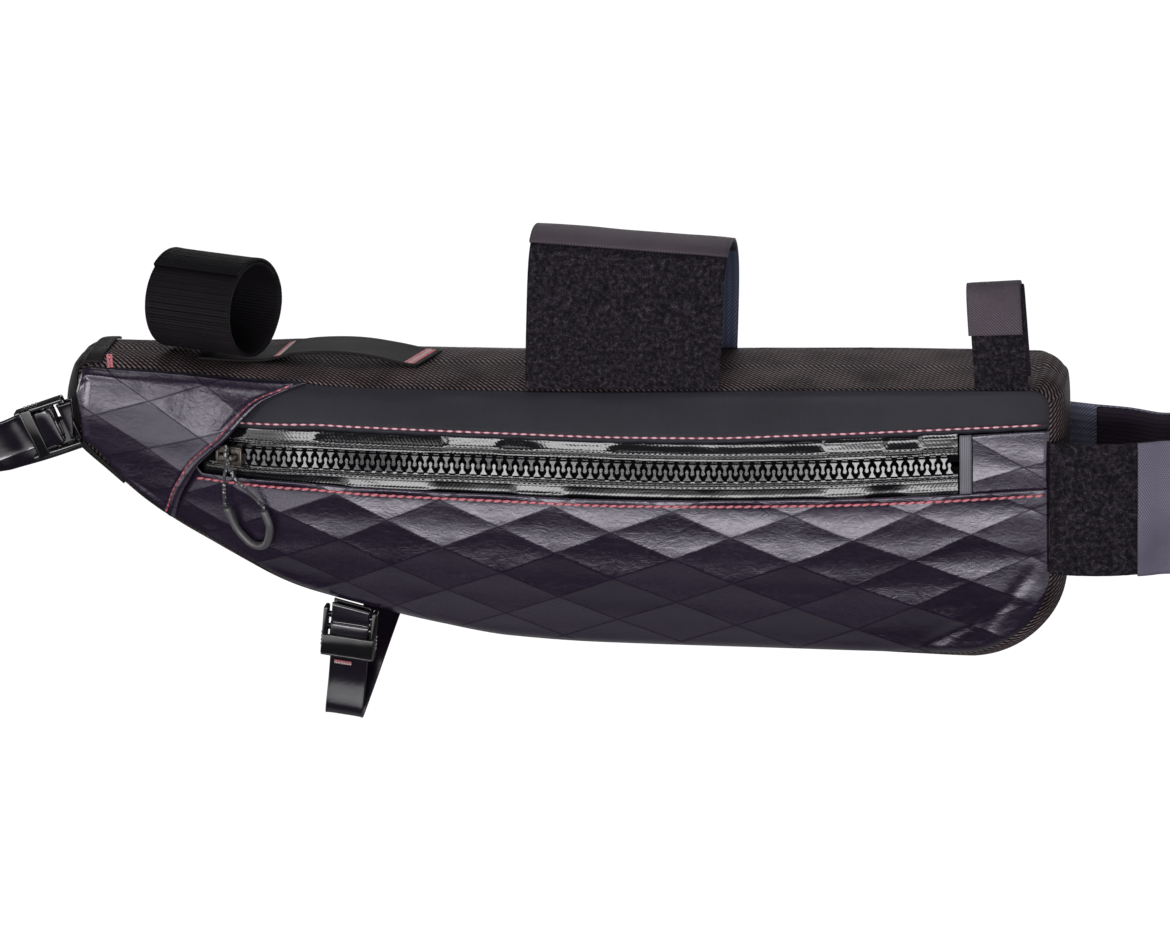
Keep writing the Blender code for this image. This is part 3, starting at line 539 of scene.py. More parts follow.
send("Mask", broad.outputs[0])

# %% Facet effect
facets, given, send = effect(
    "facets", (("Place", "Vector"),), (("Tone", "Float"), ("Line", "Float"))
)
cell = put(facets, "VectorMath", operation="FLOOR")
facets.links.new(given["Place"], cell.inputs[0])
# Each diamond gets one random tone. The laminate paints it in as each facet's sheen, a lighter or darker
# colour as if the facet mirrored more or less light, and also varies roughness by it.
tone = put(facets, "TexWhiteNoise", noise_dimensions="2D", Vector=cell.outputs[0])
send("Tone", tone.outputs["Value"])
rest = put(facets, "VectorMath", operation="FRACTION")
facets.links.new(given["Place"], rest.inputs[0])
sides = put(facets, "SeparateXYZ", Vector=rest.outputs[0]).outputs
edges = [
    calc(facets, "MINIMUM", side, calc(facets, "SUBTRACT", 1.0, side)) for side in (sides[0], sides[1])
]
nearest = calc(facets, "MINIMUM", *edges)
past = calc(facets, "MINIMUM", calc(facets, "MULTIPLY", nearest, 30.0), 1.0)
send("Line", calc(facets, "SUBTRACT", 1.0, past))
print("effects:", [made.name for made in (weave, crumple, facets)])

# %% [markdown]
# ## The finishes
# A finish is made where its numbers can be compared with the others. Cloth is rough and gets
# a weave in its bump; film and plastic are smooth, and only crumples and fine scuffs break
# their mirror. Colours are near black, so the light does most of the work.


# %% Helper for a finish
def finish(name, colour, roughness, **settings):
    """A new material, with its tree and its Principled shader."""
    made = bpy.data.materials.new(name)
    made.use_nodes = True
    tree = made.node_tree
    shader = tree.nodes["Principled BSDF"]
    shader.inputs["Base Color"].default_value = (*colour, 1)
    shader.inputs["Roughness"].default_value = roughness
    for key, value in settings.items():
        shader.inputs[key.replace("_", " ")].default_value = value
    made.diffuse_color = (*colour, 1)
    return made, tree, shader


def shaded(tree, shader, dark, light, factor):
    """The base colour runs from dark to light with a factor."""
    mix = put(tree, "MixRGB", Color1=(*dark, 1), Color2=(*light, 1))
    tree.links.new(factor, mix.inputs["Fac"])
    tree.links.new(mix.outputs[0], shader.inputs["Base Color"])


def embossed(tree, shader, height, distance):
    """One more bump, laid over those that the shader has."""
    bump = put(tree, "Bump", Strength=1.0, Distance=distance)
    tree.links.new(height, bump.inputs["Height"])
    before = shader.inputs["Normal"].links
    if before:
        tree.links.new(before[0].from_socket, bump.inputs["Normal"])
    tree.links.new(bump.outputs[0], shader.inputs["Normal"])


def between(tree, factor, low, high):
    """A number that runs from low to high with a factor."""
    return calc(tree, "MULTIPLY_ADD", factor, high - low, low)


# %% Laminate finish
def laminate(name, dark, light, roughness):
    made, tree, shader = finish(name, dark, roughness, Specular_Tint=(0.94, 0.89, 1.0, 1))
    body = put(tree, "TexCoord").outputs["Object"]
    lattice = put(tree, "UVMap", uv_map="lattice").outputs[0]
    diamonds = use(tree, facets, Place=lattice)
    crumpled = use(tree, crumple, Place=body, Scale=42.0)
    scuffs = put(tree, "TexNoise", Vector=body, Scale=420.0, Detail=3.0).outputs[0]
    # Painted sheen: each facet's random tone makes its colour lighter or darker. The crumple mask adds
    # random mottling.
    facet_sheen_and_mottle = calc(tree, "MULTIPLY_ADD", diamonds["Tone"], 0.4, calc(tree, "MULTIPLY", crumpled["Mask"], 0.6))
    shaded(tree, shader, dark, light, facet_sheen_and_mottle)
    rough = between(tree, diamonds["Tone"], roughness - 0.04, roughness + 0.04)
    rough = calc(tree, "ADD", rough, between(tree, scuffs, -0.07, 0.07))
    tree.links.new(rough, shader.inputs["Roughness"])
    tree.links.new(between(tree, diamonds["Line"], 0.58, 0.12), shader.inputs["Specular IOR Level"])
    embossed(tree, shader, crumpled["Height"], 0.00062)
    embossed(tree, shader, scuffs, 0.00005)
    return made


film = laminate("laminate_film", (0.0045, 0.0024, 0.0075), (0.0125, 0.0078, 0.0185), 0.25)

# %% Woven finishes
# The last two rows are lighter copies of the hook tape's back and the navy twill, made for the seat strap:
# painted light. The twill inside the seat loop is lightened against the shade that falls there.
WEAVES = {
    "name": (
        "plain_cloth", "mesh_twill", "navy_twill", "hook_tape_back", "ribbed_elastic",
        "patch_cloth", "tab_tape", "black_cloth", "seat_tape_back_lit", "seat_twill_lit",
    ),
    "dark": (
        (0.0066, 0.0064, 0.0104), (0.0004, 0.0002, 0.0003), (0.030, 0.034, 0.062),
        (0.036, 0.0285, 0.0355), (0.0014, 0.0009, 0.0016), (0.0030, 0.0022, 0.0026),
        (0.054, 0.053, 0.063), (0.016, 0.011, 0.018), (0.060, 0.054, 0.078), (0.085, 0.090, 0.135),
    ),
    "light": (
        (0.0148, 0.0137, 0.0212), (0.150, 0.114, 0.120), (0.095, 0.105, 0.170),
        (0.100, 0.079, 0.098), (0.0062, 0.0042, 0.0066), (0.0130, 0.0100, 0.0112),
        (0.150, 0.146, 0.172), (0.052, 0.038, 0.058), (0.165, 0.148, 0.205), (0.26, 0.27, 0.37),
    ),
    "roughness": (0.60, 0.66, 0.75, 0.75, 0.70, 0.70, 0.5, 0.8, 0.75, 0.75),
    "gleam": (0.20, 0.03, 0.10, 0.16, 0.10, 0.16, 0.30, 0.10, 0.16, 0.10),
    "threads": (1400.0, 370.0, 620.0, 1300.0, 620.0, 1100.0, 1100.0, 900.0, 1000.0, 560.0),
    "slant": (0.0, 0.85, 1.0, 0.5, 0.0, 1.0, 0.0, 1.0, 0.5, 1.0),
    "cross": (1.0, 0.9, 0.5, 1.0, 1.0, 0.5, 1.0, 0.5, 1.0, 0.5),
    "depth": (0.00005, 0.00030, 0.00012, 0.00012, 0.00010, 0.00006, 0.00005, 0.00005, 0.00012, 0.00012),
}


def woven(name, dark, light, roughness, gleam, threads, slant, cross, depth):
    made, tree, shader = finish(name, dark, roughness, Specular_IOR_Level=gleam)
    flat = put(tree, "UVMap", uv_map="weave").outputs[0]
    body = put(tree, "TexCoord").outputs["Object"]
    yarns = use(tree, weave, Place=flat, Threads=threads, Slant=slant, Cross=cross)
    crumpled = use(tree, crumple, Place=body, Scale=30.0)
    # The weave's painted shade in its hollows, times random mottling from the crumples, runs the colour
    # from dark to light.
    shade_and_mottle = calc(tree, "MULTIPLY", yarns["Shade"], between(tree, crumpled["Mask"], -0.7, 2.7))
    shaded(tree, shader, dark, light, shade_and_mottle)
    embossed(tree, shader, crumpled["Height"], 0.0005)
    embossed(tree, shader, yarns["Height"], depth)
    return made


cloths = {row[0]: woven(*row) for row in zip(*WEAVES.values())}
print("cloths:", list(cloths))
# Matt black for the tapes' band under the teeth and for their hidden walls: painted shade under the teeth.
painted_shade_black = finish("painted_shade_black", (0.0015, 0.0012, 0.0018), 0.9, Specular_IOR_Level=0.05)[0]

# %% Pile finish
pile, tree, shader = finish("pile_loops", (0.004, 0.003, 0.004), 0.92, Specular_IOR_Level=0.08)
body = put(tree, "TexCoord").outputs["Object"]
tufts = put(tree, "TexNoise", Vector=body, Scale=430.0, Detail=5.0, Roughness=0.7).outputs[0]
fluff = put(tree, "TexNoise", Vector=body, Scale=2100.0, Detail=3.0).outputs[0]
speck = calc(tree, "POWER", calc(tree, "MULTIPLY", tufts, calc(tree, "MULTIPLY_ADD", fluff, 1.2, 0.4)), 4.0)
specks = calc(tree, "MINIMUM", calc(tree, "MULTIPLY", speck, 2.4), 1.0)
shaded(tree, shader, (0.0003, 0.0002, 0.0004), (0.070, 0.058, 0.078), specks)
embossed(tree, shader, tufts, 0.0011)
embossed(tree, shader, fluff, 0.0003)

# %% Bead effect for the tapes' raised rows
beads, given, send = effect(
    "beads", (("Place", "Vector"), ("Pitch", "Float"), ("Row", "Float")), (("Height", "Float"),)
)
parts = put(beads, "SeparateXYZ", Vector=given["Place"]).outputs
run = calc(beads, "DIVIDE", parts[0], given["Pitch"])
swing = calc(beads, "SINE", calc(beads, "MULTIPLY", run, 2 * math.pi))
off = calc(beads, "DIVIDE", calc(beads, "SUBTRACT", parts[1], given["Row"]), 0.00045)
near_row = calc(beads, "SUBTRACT", 1.0, calc(beads, "MINIMUM", calc(beads, "ABSOLUTE", off), 1.0))
send("Height", calc(beads, "MULTIPLY", near_row, calc(beads, "MULTIPLY_ADD", swing, 0.5, 0.5)))

# %% Zip finishes
coated, tree, shader = finish("coated_tape", (0.0035, 0.003, 0.004), 0.13, Specular_IOR_Level=0.50)
flat = put(tree, "UVMap", uv_map="weave").outputs[0]
body = put(tree, "TexCoord").outputs["Object"]
weft = use(tree, weave, Place=flat, Threads=520.0, Slant=0.8, Cross=0.0)
wavy = use(tree, crumple, Place=body, Scale=24.0)
embossed(tree, shader, wavy["Height"], 0.0005)
embossed(tree, shader, weft["Height"], 0.00003)
for row in (0.0012, 0.0026):
    embossed(tree, shader, use(tree, beads, Place=flat, Pitch=0.0027, Row=row)["Height"], 0.00011)
tree.links.new(between(tree, wavy["Mask"], 0.08, 0.20), shader.inputs["Roughness"])

moulded, tree, shader = finish("moulded_teeth", (0.012, 0.011, 0.013), 0.30, Specular_IOR_Level=0.75)
body = put(tree, "TexCoord").outputs["Object"]
grit = put(tree, "TexNoise", Vector=body, Scale=900.0, Detail=2.0).outputs[0]
embossed(tree, shader, grit, 0.00003)
tree.links.new(between(tree, grit, 0.20, 0.32), shader.inputs["Roughness"])

# %% Webbing, plastic and metal finishes
webbed, tree, shader = finish("glossy_webbing", (0.006, 0.004, 0.008), 0.12, Specular_IOR_Level=0.6)
body = put(tree, "TexCoord").outputs["Object"]
worn = use(tree, crumple, Place=body, Scale=26.0)
embossed(tree, shader, worn["Height"], 0.00012)
tree.links.new(between(tree, worn["Mask"], 0.06, 0.22), shader.inputs["Roughness"])

gloss, tree, shader = finish("gloss_plastic", (0.0045, 0.004, 0.005), 0.10, Specular_IOR_Level=0.6)
body = put(tree, "TexCoord").outputs["Object"]
dents = put(tree, "TexNoise", Vector=body, Scale=70.0, Detail=1.0).outputs[0]
scratches = put(tree, "TexNoise", Vector=body, Scale=900.0, Detail=4.0, Distortion=0.6).outputs[0]
embossed(tree, shader, dents, 0.0002)
tree.links.new(between(tree, scratches, 0.06, 0.16), shader.inputs["Roughness"])

bronze, tree, shader = finish("dark_bronze", (0.105, 0.090, 0.080), 0.32, Metallic=0.9)
body = put(tree, "TexCoord").outputs["Object"]
rubbed = put(tree, "TexNoise", Vector=body, Scale=420.0, Detail=4.0).outputs[0]
shaded(tree, shader, (0.022, 0.018, 0.016), (0.085, 0.073, 0.065), rubbed)
tree.links.new(between(tree, rubbed, 0.26, 0.46), shader.inputs["Roughness"])
embossed(tree, shader, rubbed, 0.00005)

# %% Thread finishes
# The bag's thread is red. The pink and pale rows are lighter copies of it, with painted highlights: the
# bright cores of the upper stitches and the pale stripes of the bar tacks.
THREADS = {
    "name": ("red_thread", "highlit_red_thread", "pale_highlit_thread"),
    "colour": ((0.42, 0.030, 0.045), (0.50, 0.26, 0.32), (0.60, 0.46, 0.44)),
    "roughness": (0.42, 0.45, 0.5),
    "sheen": (0.3, 0.2, 0.2),
    "dark": ((0.24, 0.030, 0.050), (0.36, 0.15, 0.20), (0.30, 0.22, 0.22)),
    "light": ((0.62, 0.17, 0.20), (0.66, 0.42, 0.47), (0.55, 0.44, 0.42)),
}


def thread(name, colour, roughness, sheen, dark, light):
    made, tree, shader = finish(name, colour, roughness, Sheen_Weight=sheen)
    body = put(tree, "TexCoord").outputs["Object"]
    strands = put(tree, "TexNoise", Vector=body, Scale=2600.0, Detail=2.0).outputs[0]
    shaded(tree, shader, dark, light, strands)
    embossed(tree, shader, strands, 0.00010)
    return made


red, highlit_red, pale_highlit = (thread(*row) for row in zip(*THREADS.values()))
# A darker red for the tube under each stitch row: partly the thread in its groove, partly painted shade of
# the groove.
deep_red = finish("deep_red_thread", (0.105, 0.012, 0.026), 0.6)[0]

# %% Cord and rubber finishes
braid, tree, shader = finish("speckled_braid", (0.05, 0.05, 0.055), 0.7)
body = put(tree, "TexCoord").outputs["Object"]
flecks = put(tree, "TexVoronoi", Vector=body, Scale=620.0).outputs["Distance"]
spots = calc(tree, "LESS_THAN", flecks, 0.34)
shaded(tree, shader, (0.018, 0.018, 0.021), (0.30, 0.30, 0.31), spots)
plaits = put(tree, "TexNoise", Vector=body, Scale=1300.0, Detail=1.0).outputs[0]
embossed(tree, shader, plaits, 0.0003)

rubber, tree, shader = finish("grey_rubber", (0.062, 0.060, 0.062), 0.42)
body = put(tree, "TexCoord").outputs["Object"]
bloom = put(tree, "TexNoise", Vector=body, Scale=240.0, Detail=4.0).outputs[0]
shaded(tree, shader, (0.024, 0.022, 0.025), (0.055, 0.052, 0.056), bloom)
embossed(tree, shader, bloom, 0.00006)

print("finishes:", len(bpy.data.materials))

# %% [markdown]
# ## The zip pull's cord
# A short braided cord goes up from a rubber sleeve, through the slider's bail and back into
# the sleeve. It is one open curve with a round bevel, because a cord has one thickness all
# along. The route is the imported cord's own, worked out from the slider's place.


# %% Slider's place and the cord's route
def surface_frame(x, z):
    """A point of the shown side, and its directions along, up and out."""
    ahead = (front_at(x + 0.006, z, 0) - front_at(x - 0.006, z, 0)).normalized()
    up = (front_at(x, z + 0.006, 0) - front_at(x, z - 0.006, 0)).normalized()
    out = ahead.cross(up)
    out = -out if out.y > 0 else out
    up = out.cross(ahead)
    up = -up if up.z < 0 else up
    return front_at(x, z, 0), ahead, up, out


CORD = 0.0018
SLEEVE = 0.0041
SLIDER_PLATE = 0.0024
BAIL_WIRE = 0.0016
slider_x = at_x(SLIDER_AT)
slider_z = -PANEL_HEIGHT * read(ZIP, "chain", SLIDER_AT)
slider_base, ahead, up, out = surface_frame(slider_x, slider_z)
slider_base = front_at(slider_x, slider_z, -GAP - SLIDER_PLATE / 2) + out * 0.0006
cord_room = CORD + 0.0010
bail_rise = SLIDER_PLATE / 2 + cord_room + BAIL_WIRE / 2
inside = SLIDER_PLATE / 2 + cord_room / 2
outside = bail_rise + BAIL_WIRE / 2 + CORD / 2 + GAP
SLEEVE_ROWS = {
    "along": (-0.0034, -0.0016, 0.0022, 0.0090, 0.0162, 0.0194, 0.0172),
    "down": (0.200, 0.245, 0.300, 0.345, 0.332, 0.262, 0.196),
}
sleeve_line = [
    front_at(slider_base.x + a, slider_base.z - PANEL_HEIGHT * d, -SLEEVE / 2 - 2 * GAP - 0.0008)
    for a, d in zip(*SLEEVE_ROWS.values())
]
coarse = smooth(sleeve_line, 4)
leave_way = (coarse[0] - coarse[1]).normalized()
arrive_way = (coarse[-1] - coarse[-2]).normalized()
first = coarse[0] + leave_way * 2 * GAP
last = coarse[-1] + arrive_way * 2 * GAP
step_out = outside - inside
cord_points = [
    first,
    first + leave_way * 0.003,
    slider_base - up * 0.011 - ahead * 0.0016 + out * (inside + 0.0010),
    slider_base - up * 0.004 - ahead * 0.0004 + out * inside,
    slider_base + up * 0.001 + out * inside,
    slider_base + up * 0.0045 + out * (inside + 0.15 * step_out),
    slider_base + up * 0.0065 + ahead * 0.0006 + out * (inside + 0.55 * step_out),
    slider_base + up * 0.0045 + ahead * 0.0012 + out * (outside + 0.0001),
    slider_base + up * 0.0005 + ahead * 0.0018 + out * (outside + 0.0003),
    slider_base - up * 0.0050 + ahead * 0.0034 + out * (outside - 0.0004),
    slider_base - up * 0.0120 + ahead * 0.0065 + out * (0.6 * outside),
    last + arrive_way * 0.003,
    last,
]

# %% Cord and sleeve
cord_path = smooth(cord_points, 6)
line = bpy.data.curves.new("braided_cord", "CURVE")
line.dimensions = "3D"
line.bevel_depth = CORD / 2
line.bevel_resolution = 4
line.use_fill_caps = True
spline = line.splines.new("POLY")
spline.points.add(len(cord_path) - 1)
for point, place in zip(spline.points, cord_path):
    point.co = (*place, 1)
line.materials.append(braid)
braided_cord = bpy.data.objects.new("braided_cord", line)
bpy.context.scene.collection.objects.link(braided_cord)
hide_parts("pull_cord")
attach(braided_cord, "root")


def swept_tube(name, look, route, radius, nodes=(), sides=14, pinch=None):
    """A tube along a route: a circle of points is carried along and skinned."""
    bm = flat_cloth(len(route) - 1, sides)
    ways = tangents(route)
    turns = [Vector((0, 1, 0))]
    for way in ways:
        turns.append((turns[-1] - way * turns[-1].dot(way)).normalized())

    def place(u, v):
        i = round(u * (len(route) - 1))
        side = turns[i + 1]
        other = ways[i].cross(side)
        angle = 2 * math.pi * v
        size = radius if pinch is None else radius * pinch(u)
        return route[i] + size * (math.cos(angle) * side + math.sin(angle) * other)

    lay(bm, (path_length(route), 2 * math.pi * radius), place)
    bmesh.ops.remove_doubles(bm, verts=bm.verts, dist=1e-6)
    bmesh.ops.holes_fill(bm, edges=bm.edges, sides=0)
    bmesh.ops.recalc_face_normals(bm, faces=bm.faces)
    return piece(bm, name, [look], nodes)


pull_sleeve = swept_tube(
    "rubber_sleeve", rubber, smooth(sleeve_line, 14), SLEEVE / 2, ("pull_sleeve",),
    pinch=lambda u: 0.93 + 0.07 * ease(min(u, 1 - u) / 0.04),
)
cord_length = path_length(cord_path)
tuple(cord_path[0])
print("cord length", round(cord_length, 4), "m")

# %% [markdown]
# ## The diamond laminate
# The laminate's threads cross in a lattice of long diamonds. Between the threads the film
# sinks a little, so each diamond is a shallow dish whose rim catches the light. The creases
# have to be crisp, so the flat cloth is first moved into lattice space, where all the threads
# are straight, and cut along each of them. Then it goes back and onto the bag. Stiff film
# can't be round in two directions at once, so each diamond is also drawn most of the way to
# the face between its four corners, which gives the side its facets.

# %% Lattice of the threads
LATTICE = {
    "row": (-10, -5, -4, -3, -2, -1, 0, 1, 2, 3, 4, 5, 6, 7, 8, 10),
    "x": (-0.2850, -0.1410, -0.1105, -0.0850, -0.0575, -0.0280, 0.0005, 0.0292, 0.0604, 0.0894,
          0.1200, 0.1500, 0.1795, 0.2080, 0.2375, 0.2970),
}
ROW_HEIGHT = 0.0126
ROW_START = -0.0583
ROW_SLOPE = 0.035
TAIL_RISE = 0.0045


def lattice_read(name, key, at):
    """The column's value at a place in the lattice's table, on straight lines from row to row."""
    xs, ys = LATTICE[key], LATTICE[name]
    i = 0
    while i < len(xs) - 2 and at > xs[i + 1]:
        i += 1
    return lerp(ys[i], ys[i + 1], (at - xs[i]) / (xs[i + 1] - xs[i]))


def level_of(x):
    """The height of the lattice's first level at x."""
    return ROW_START - ROW_SLOPE * x + TAIL_RISE * ease((x - 0.13) / 0.09)


def to_lattice(x, z):
    """Diamonds counted along the two sets of threads; whole numbers are the threads."""
    i, j = lattice_read("row", "x", x), (z - level_of(x)) / ROW_HEIGHT
    return (i + j) / 2, (i - j) / 2


def from_lattice(a, b):
    x = lattice_read("x", "row", a + b)
    return x, level_of(x) + (a - b) * ROW_HEIGHT


def spin(x, z, turned, back=False):
    """A place in a lattice that is turned about a point and then moved, or the way back."""
    about_x, about_z, angle, move_x, move_z = turned
    dx, dz = x - about_x, z - about_z
    if back:
        angle = -angle
        dx, dz = dx - move_x, dz - move_z
    x = about_x + dx * math.cos(angle) - dz * math.sin(angle)
    z = about_z + dx * math.sin(angle) + dz * math.cos(angle)
    return (x, z) if back else (x + move_x, z + move_z)


print("a diamond is", 2 * ROW_HEIGHT, "m high")

# %% Relief between the threads
DISH = 0.00075
KNOT = 0.0013


def knot(a, b):
    """How high a crossing of two threads stands over the others."""
    return KNOT * noise.noise(Vector((a * 1.37 + 0.5, b * 1.73 + 0.3, 4.2)))


def mixed(values, a, b):
    """A value inside a diamond, from those at its four corners."""
    fa, fb = a - math.floor(a), b - math.floor(b)
    return lerp(lerp(values[0], values[1], fa), lerp(values[2], values[3], fa), fb)


def corners(a, b):
    a, b = math.floor(a), math.floor(b)
    return (a, b), (a + 1, b), (a, b + 1), (a + 1, b + 1)


def relief(a, b):
    """The film's height: tilted facets with dished middles."""
    fa, fb = a - math.floor(a), b - math.floor(b)
    dish = (1 - (2 * fa - 1) ** 2) * (1 - (2 * fb - 1) ** 2)
    return mixed([knot(*spot) for spot in corners(a, b)], a, b) - DISH * dish


# %% A creased film
def cut_along_threads(bm):
    """The cloth's points are in lattice space; each thread cuts it along a straight line."""
    spots = [v.co.copy() for v in bm.verts]
    for axis in (0, 1):
        low = math.floor(min(p[axis] for p in spots))
        high = math.ceil(max(p[axis] for p in spots))
        for line_at in range(low, high + 1):
            normal = Vector((1, 0, 0)) if axis == 0 else Vector((0, 1, 0))
            bmesh.ops.bisect_plane(
                bm, geom=bm.verts[:] + bm.edges[:] + bm.faces[:], dist=2e-5,
                plane_co=normal * line_at, plane_no=normal,
            )


def spread(t):
    """Shares of a length that lie closer together near its two ends."""
    return lerp(t, 0.5 - 0.5 * math.cos(math.pi * t), 0.6)


def no_lift(x, z, down):
    return 0.0


UNTURNED = (0, 0, 0, 0, 0)
SEAM_DIP = 0.0010
SEAM_FADE = 0.0016
STIFFNESS = 0.85


def film_cloth(cells, start, stop, upper, lower, side, turned=UNTURNED, lift=no_lift, fade=0.007):
    """A laminate piece of a side, creased along the threads of a lattice that may be turned."""
    bm = flat_cloth(*cells)
    flat = bm.loops.layers.uv.new("weave")
    lattice = bm.loops.layers.uv.new("lattice")
    for vert in bm.verts:
        along = lerp(start, stop, spread(vert.co.x))
        spot = side(along, lerp(upper(along), lower(along), vert.co.y), 0)
        vert.co = (*to_lattice(*spin(spot.x, spot.z, turned)), 0)
    cut_along_threads(bm)
    for face in bm.faces:
        for corner in face.loops:
            a, b, _ = corner.vert.co
            corner[lattice].uv = (a, b)
            corner[flat].uv = from_lattice(a, b)
    knots = {}

    def stand(a, b):
        """How far out the side stands at a crossing."""
        if (a, b) not in knots:
            x, z = spin(*from_lattice(a, b), turned, True)
            along = min(max((x - NOSE_X) / PANEL_LENGTH, 0), 1)
            knots[a, b] = side(along, down_of(along, z), 0).y
        return knots[a, b]

    for vert in bm.verts:
        a, b, _ = vert.co
        x, z = spin(*from_lattice(a, b), turned, True)
        along = (x - NOSE_X) / PANEL_LENGTH
        down = down_of(along, z)
        under = (down - upper(along)) * (seam_top(x) - seam_bottom(x)) + 0.002
        rim = min(z - seam_bottom(x), REAR_X - x, x - NOSE_X, under)
        keep = ease(rim / fade)
        height = relief(a, b) * keep + 0.0006 * shake((x, 0, z), 22, 3.1) * keep
        if rim < 0.006:
            height -= ridge(max(rim, 0), SEAM_DIP, SEAM_FADE)
        flatter = mixed([stand(*spot) for spot in corners(a, b)], a, b) - side(along, down, 0).y
        stiff = Vector((0, STIFFNESS * keep * flatter, 0))
        vert.co = side(along, down, -height - lift(x, z, down)) + stiff
    face_towards(bm, SHOWN if side is front else -SHOWN)
    return bm


# %% Shown side under the zip
def lower_edge(along):
    shut = zip_line(along, "upper", FOLD_LAP + GAP)
    wide = zip_line(along, "lower", -FOLD_LAP)
    return lerp(shut, wide, min(max((along - 0.10) / 0.03, 0), 1))


TAIL_CREASES = {
    "x": (0.196, 0.225),
    "z": (-0.129, -0.112),
    "angle": (0.5, 0.95),
    "size": (0.0014, 0.0011),
}


def tail_creases(x, z, down):
    """Two soft folds that run into the round tail corner."""
    fold = 0.0
    for crease_x, crease_z, angle, size in zip(*TAIL_CREASES.values()):
        dx, dz = x - crease_x, z - crease_z
        run = dx * math.cos(angle) + dz * math.sin(angle)
        off = -dx * math.sin(angle) + dz * math.cos(angle)
        fold += size * math.exp(-((run / 0.020) ** 2) - (off / 0.0035) ** 2)
    return -fold


bm = film_cloth((300, 76), 0, 1, lower_edge, lambda s: 1, front, lift=tail_creases)
piece(bm, "diamond_side", [film], ("side_panel",), thick=PANEL_CLOTH)

# %% Hidden side
bm = film_cloth((190, 56), 0, 1, lambda s: 0, lambda s: 1, rear_side)
piece(bm, "hidden_side", [film], ("back_panel",), thick=PANEL_CLOTH)

# %% Laminate beyond the zip's end
END_TAB = CHAIN_END + 0.0005
END_TAB_LONG = 0.0120
END_SPIN = (0.225, -0.045, 0.12, 0.004, 0.002)


def under_strip(along):
    return zip_line(along, "upper", FOLD_LAP + GAP)


def over_side(along):
    return zip_line(along, "lower", -FOLD_LAP - GAP)


bm = film_cloth(
    (50, 30), END_TAB + END_TAB_LONG + 0.0007, 1, under_strip, over_side, front, turned=END_SPIN, fade=0.003
)
piece(bm, "end_diamond", [film], ("zip_end_patch",), thick=0.001)


# %% [markdown]
# ## The cloth strip over the zip
# A plain cloth strip joins the zip to the top seam. Its lower edge is folded under, so the
# last millimetre rolls inwards, and the stitches draw a shallow groove along it. It is a grid
# laid on the side with a few soft puckers, which pull from the stitches as sewn cloth does.

# %% Strip over the zip
def strip_place(u, v):
    along = spread(u)
    x = at_x(along)
    bottom = zip_line(along, "upper", FOLD_LAP)
    down = bottom * v
    z = lerp(seam_top(x), seam_bottom(x), down)
    tall = (seam_top(x) - seam_bottom(x)) * bottom
    from_top, from_fold = v * tall, (1 - v) * tall
    pull = math.sin(x * 2 * math.pi / 0.017 + 2 * math.sin(x * 61))
    pucker = 0.00035 * pull * math.exp(-from_fold / 0.006)
    soft = 0.0011 * shake((x, 0, z), 26, 8.3) * ease(from_top / 0.006) * ease(from_fold / 0.006)
    roll = ridge(from_fold, 0.0011, 0.0009) + ridge(from_top, 0.0009, SEAM_FADE)
    groove = ridge(from_fold - FOLD_LAP, 0.00035, 0.0008)
    end = ridge(min(REAR_X - x, x - NOSE_X), SEAM_DIP, SEAM_FADE)
    return front(along, down, roll + groove + end - pucker - soft)


bm = flat_cloth(330, 30)
lay(bm, (PANEL_LENGTH, 0.024), strip_place)
face_towards(bm, SHOWN)
piece(bm, "zip_strip", [cloths["plain_cloth"]], ("side_strip",), thick=PANEL_CLOTH)

# %% [markdown]
# ## The mesh band round the edge
# One band of coarse mesh runs round the whole edge. Its outline is walked once, spot by spot,
# with the way that points outwards and how far the band swells there. The grid's last column
# is welded to its first, which closes the band.


# %% Walk round the seam
FLAT = 0.42


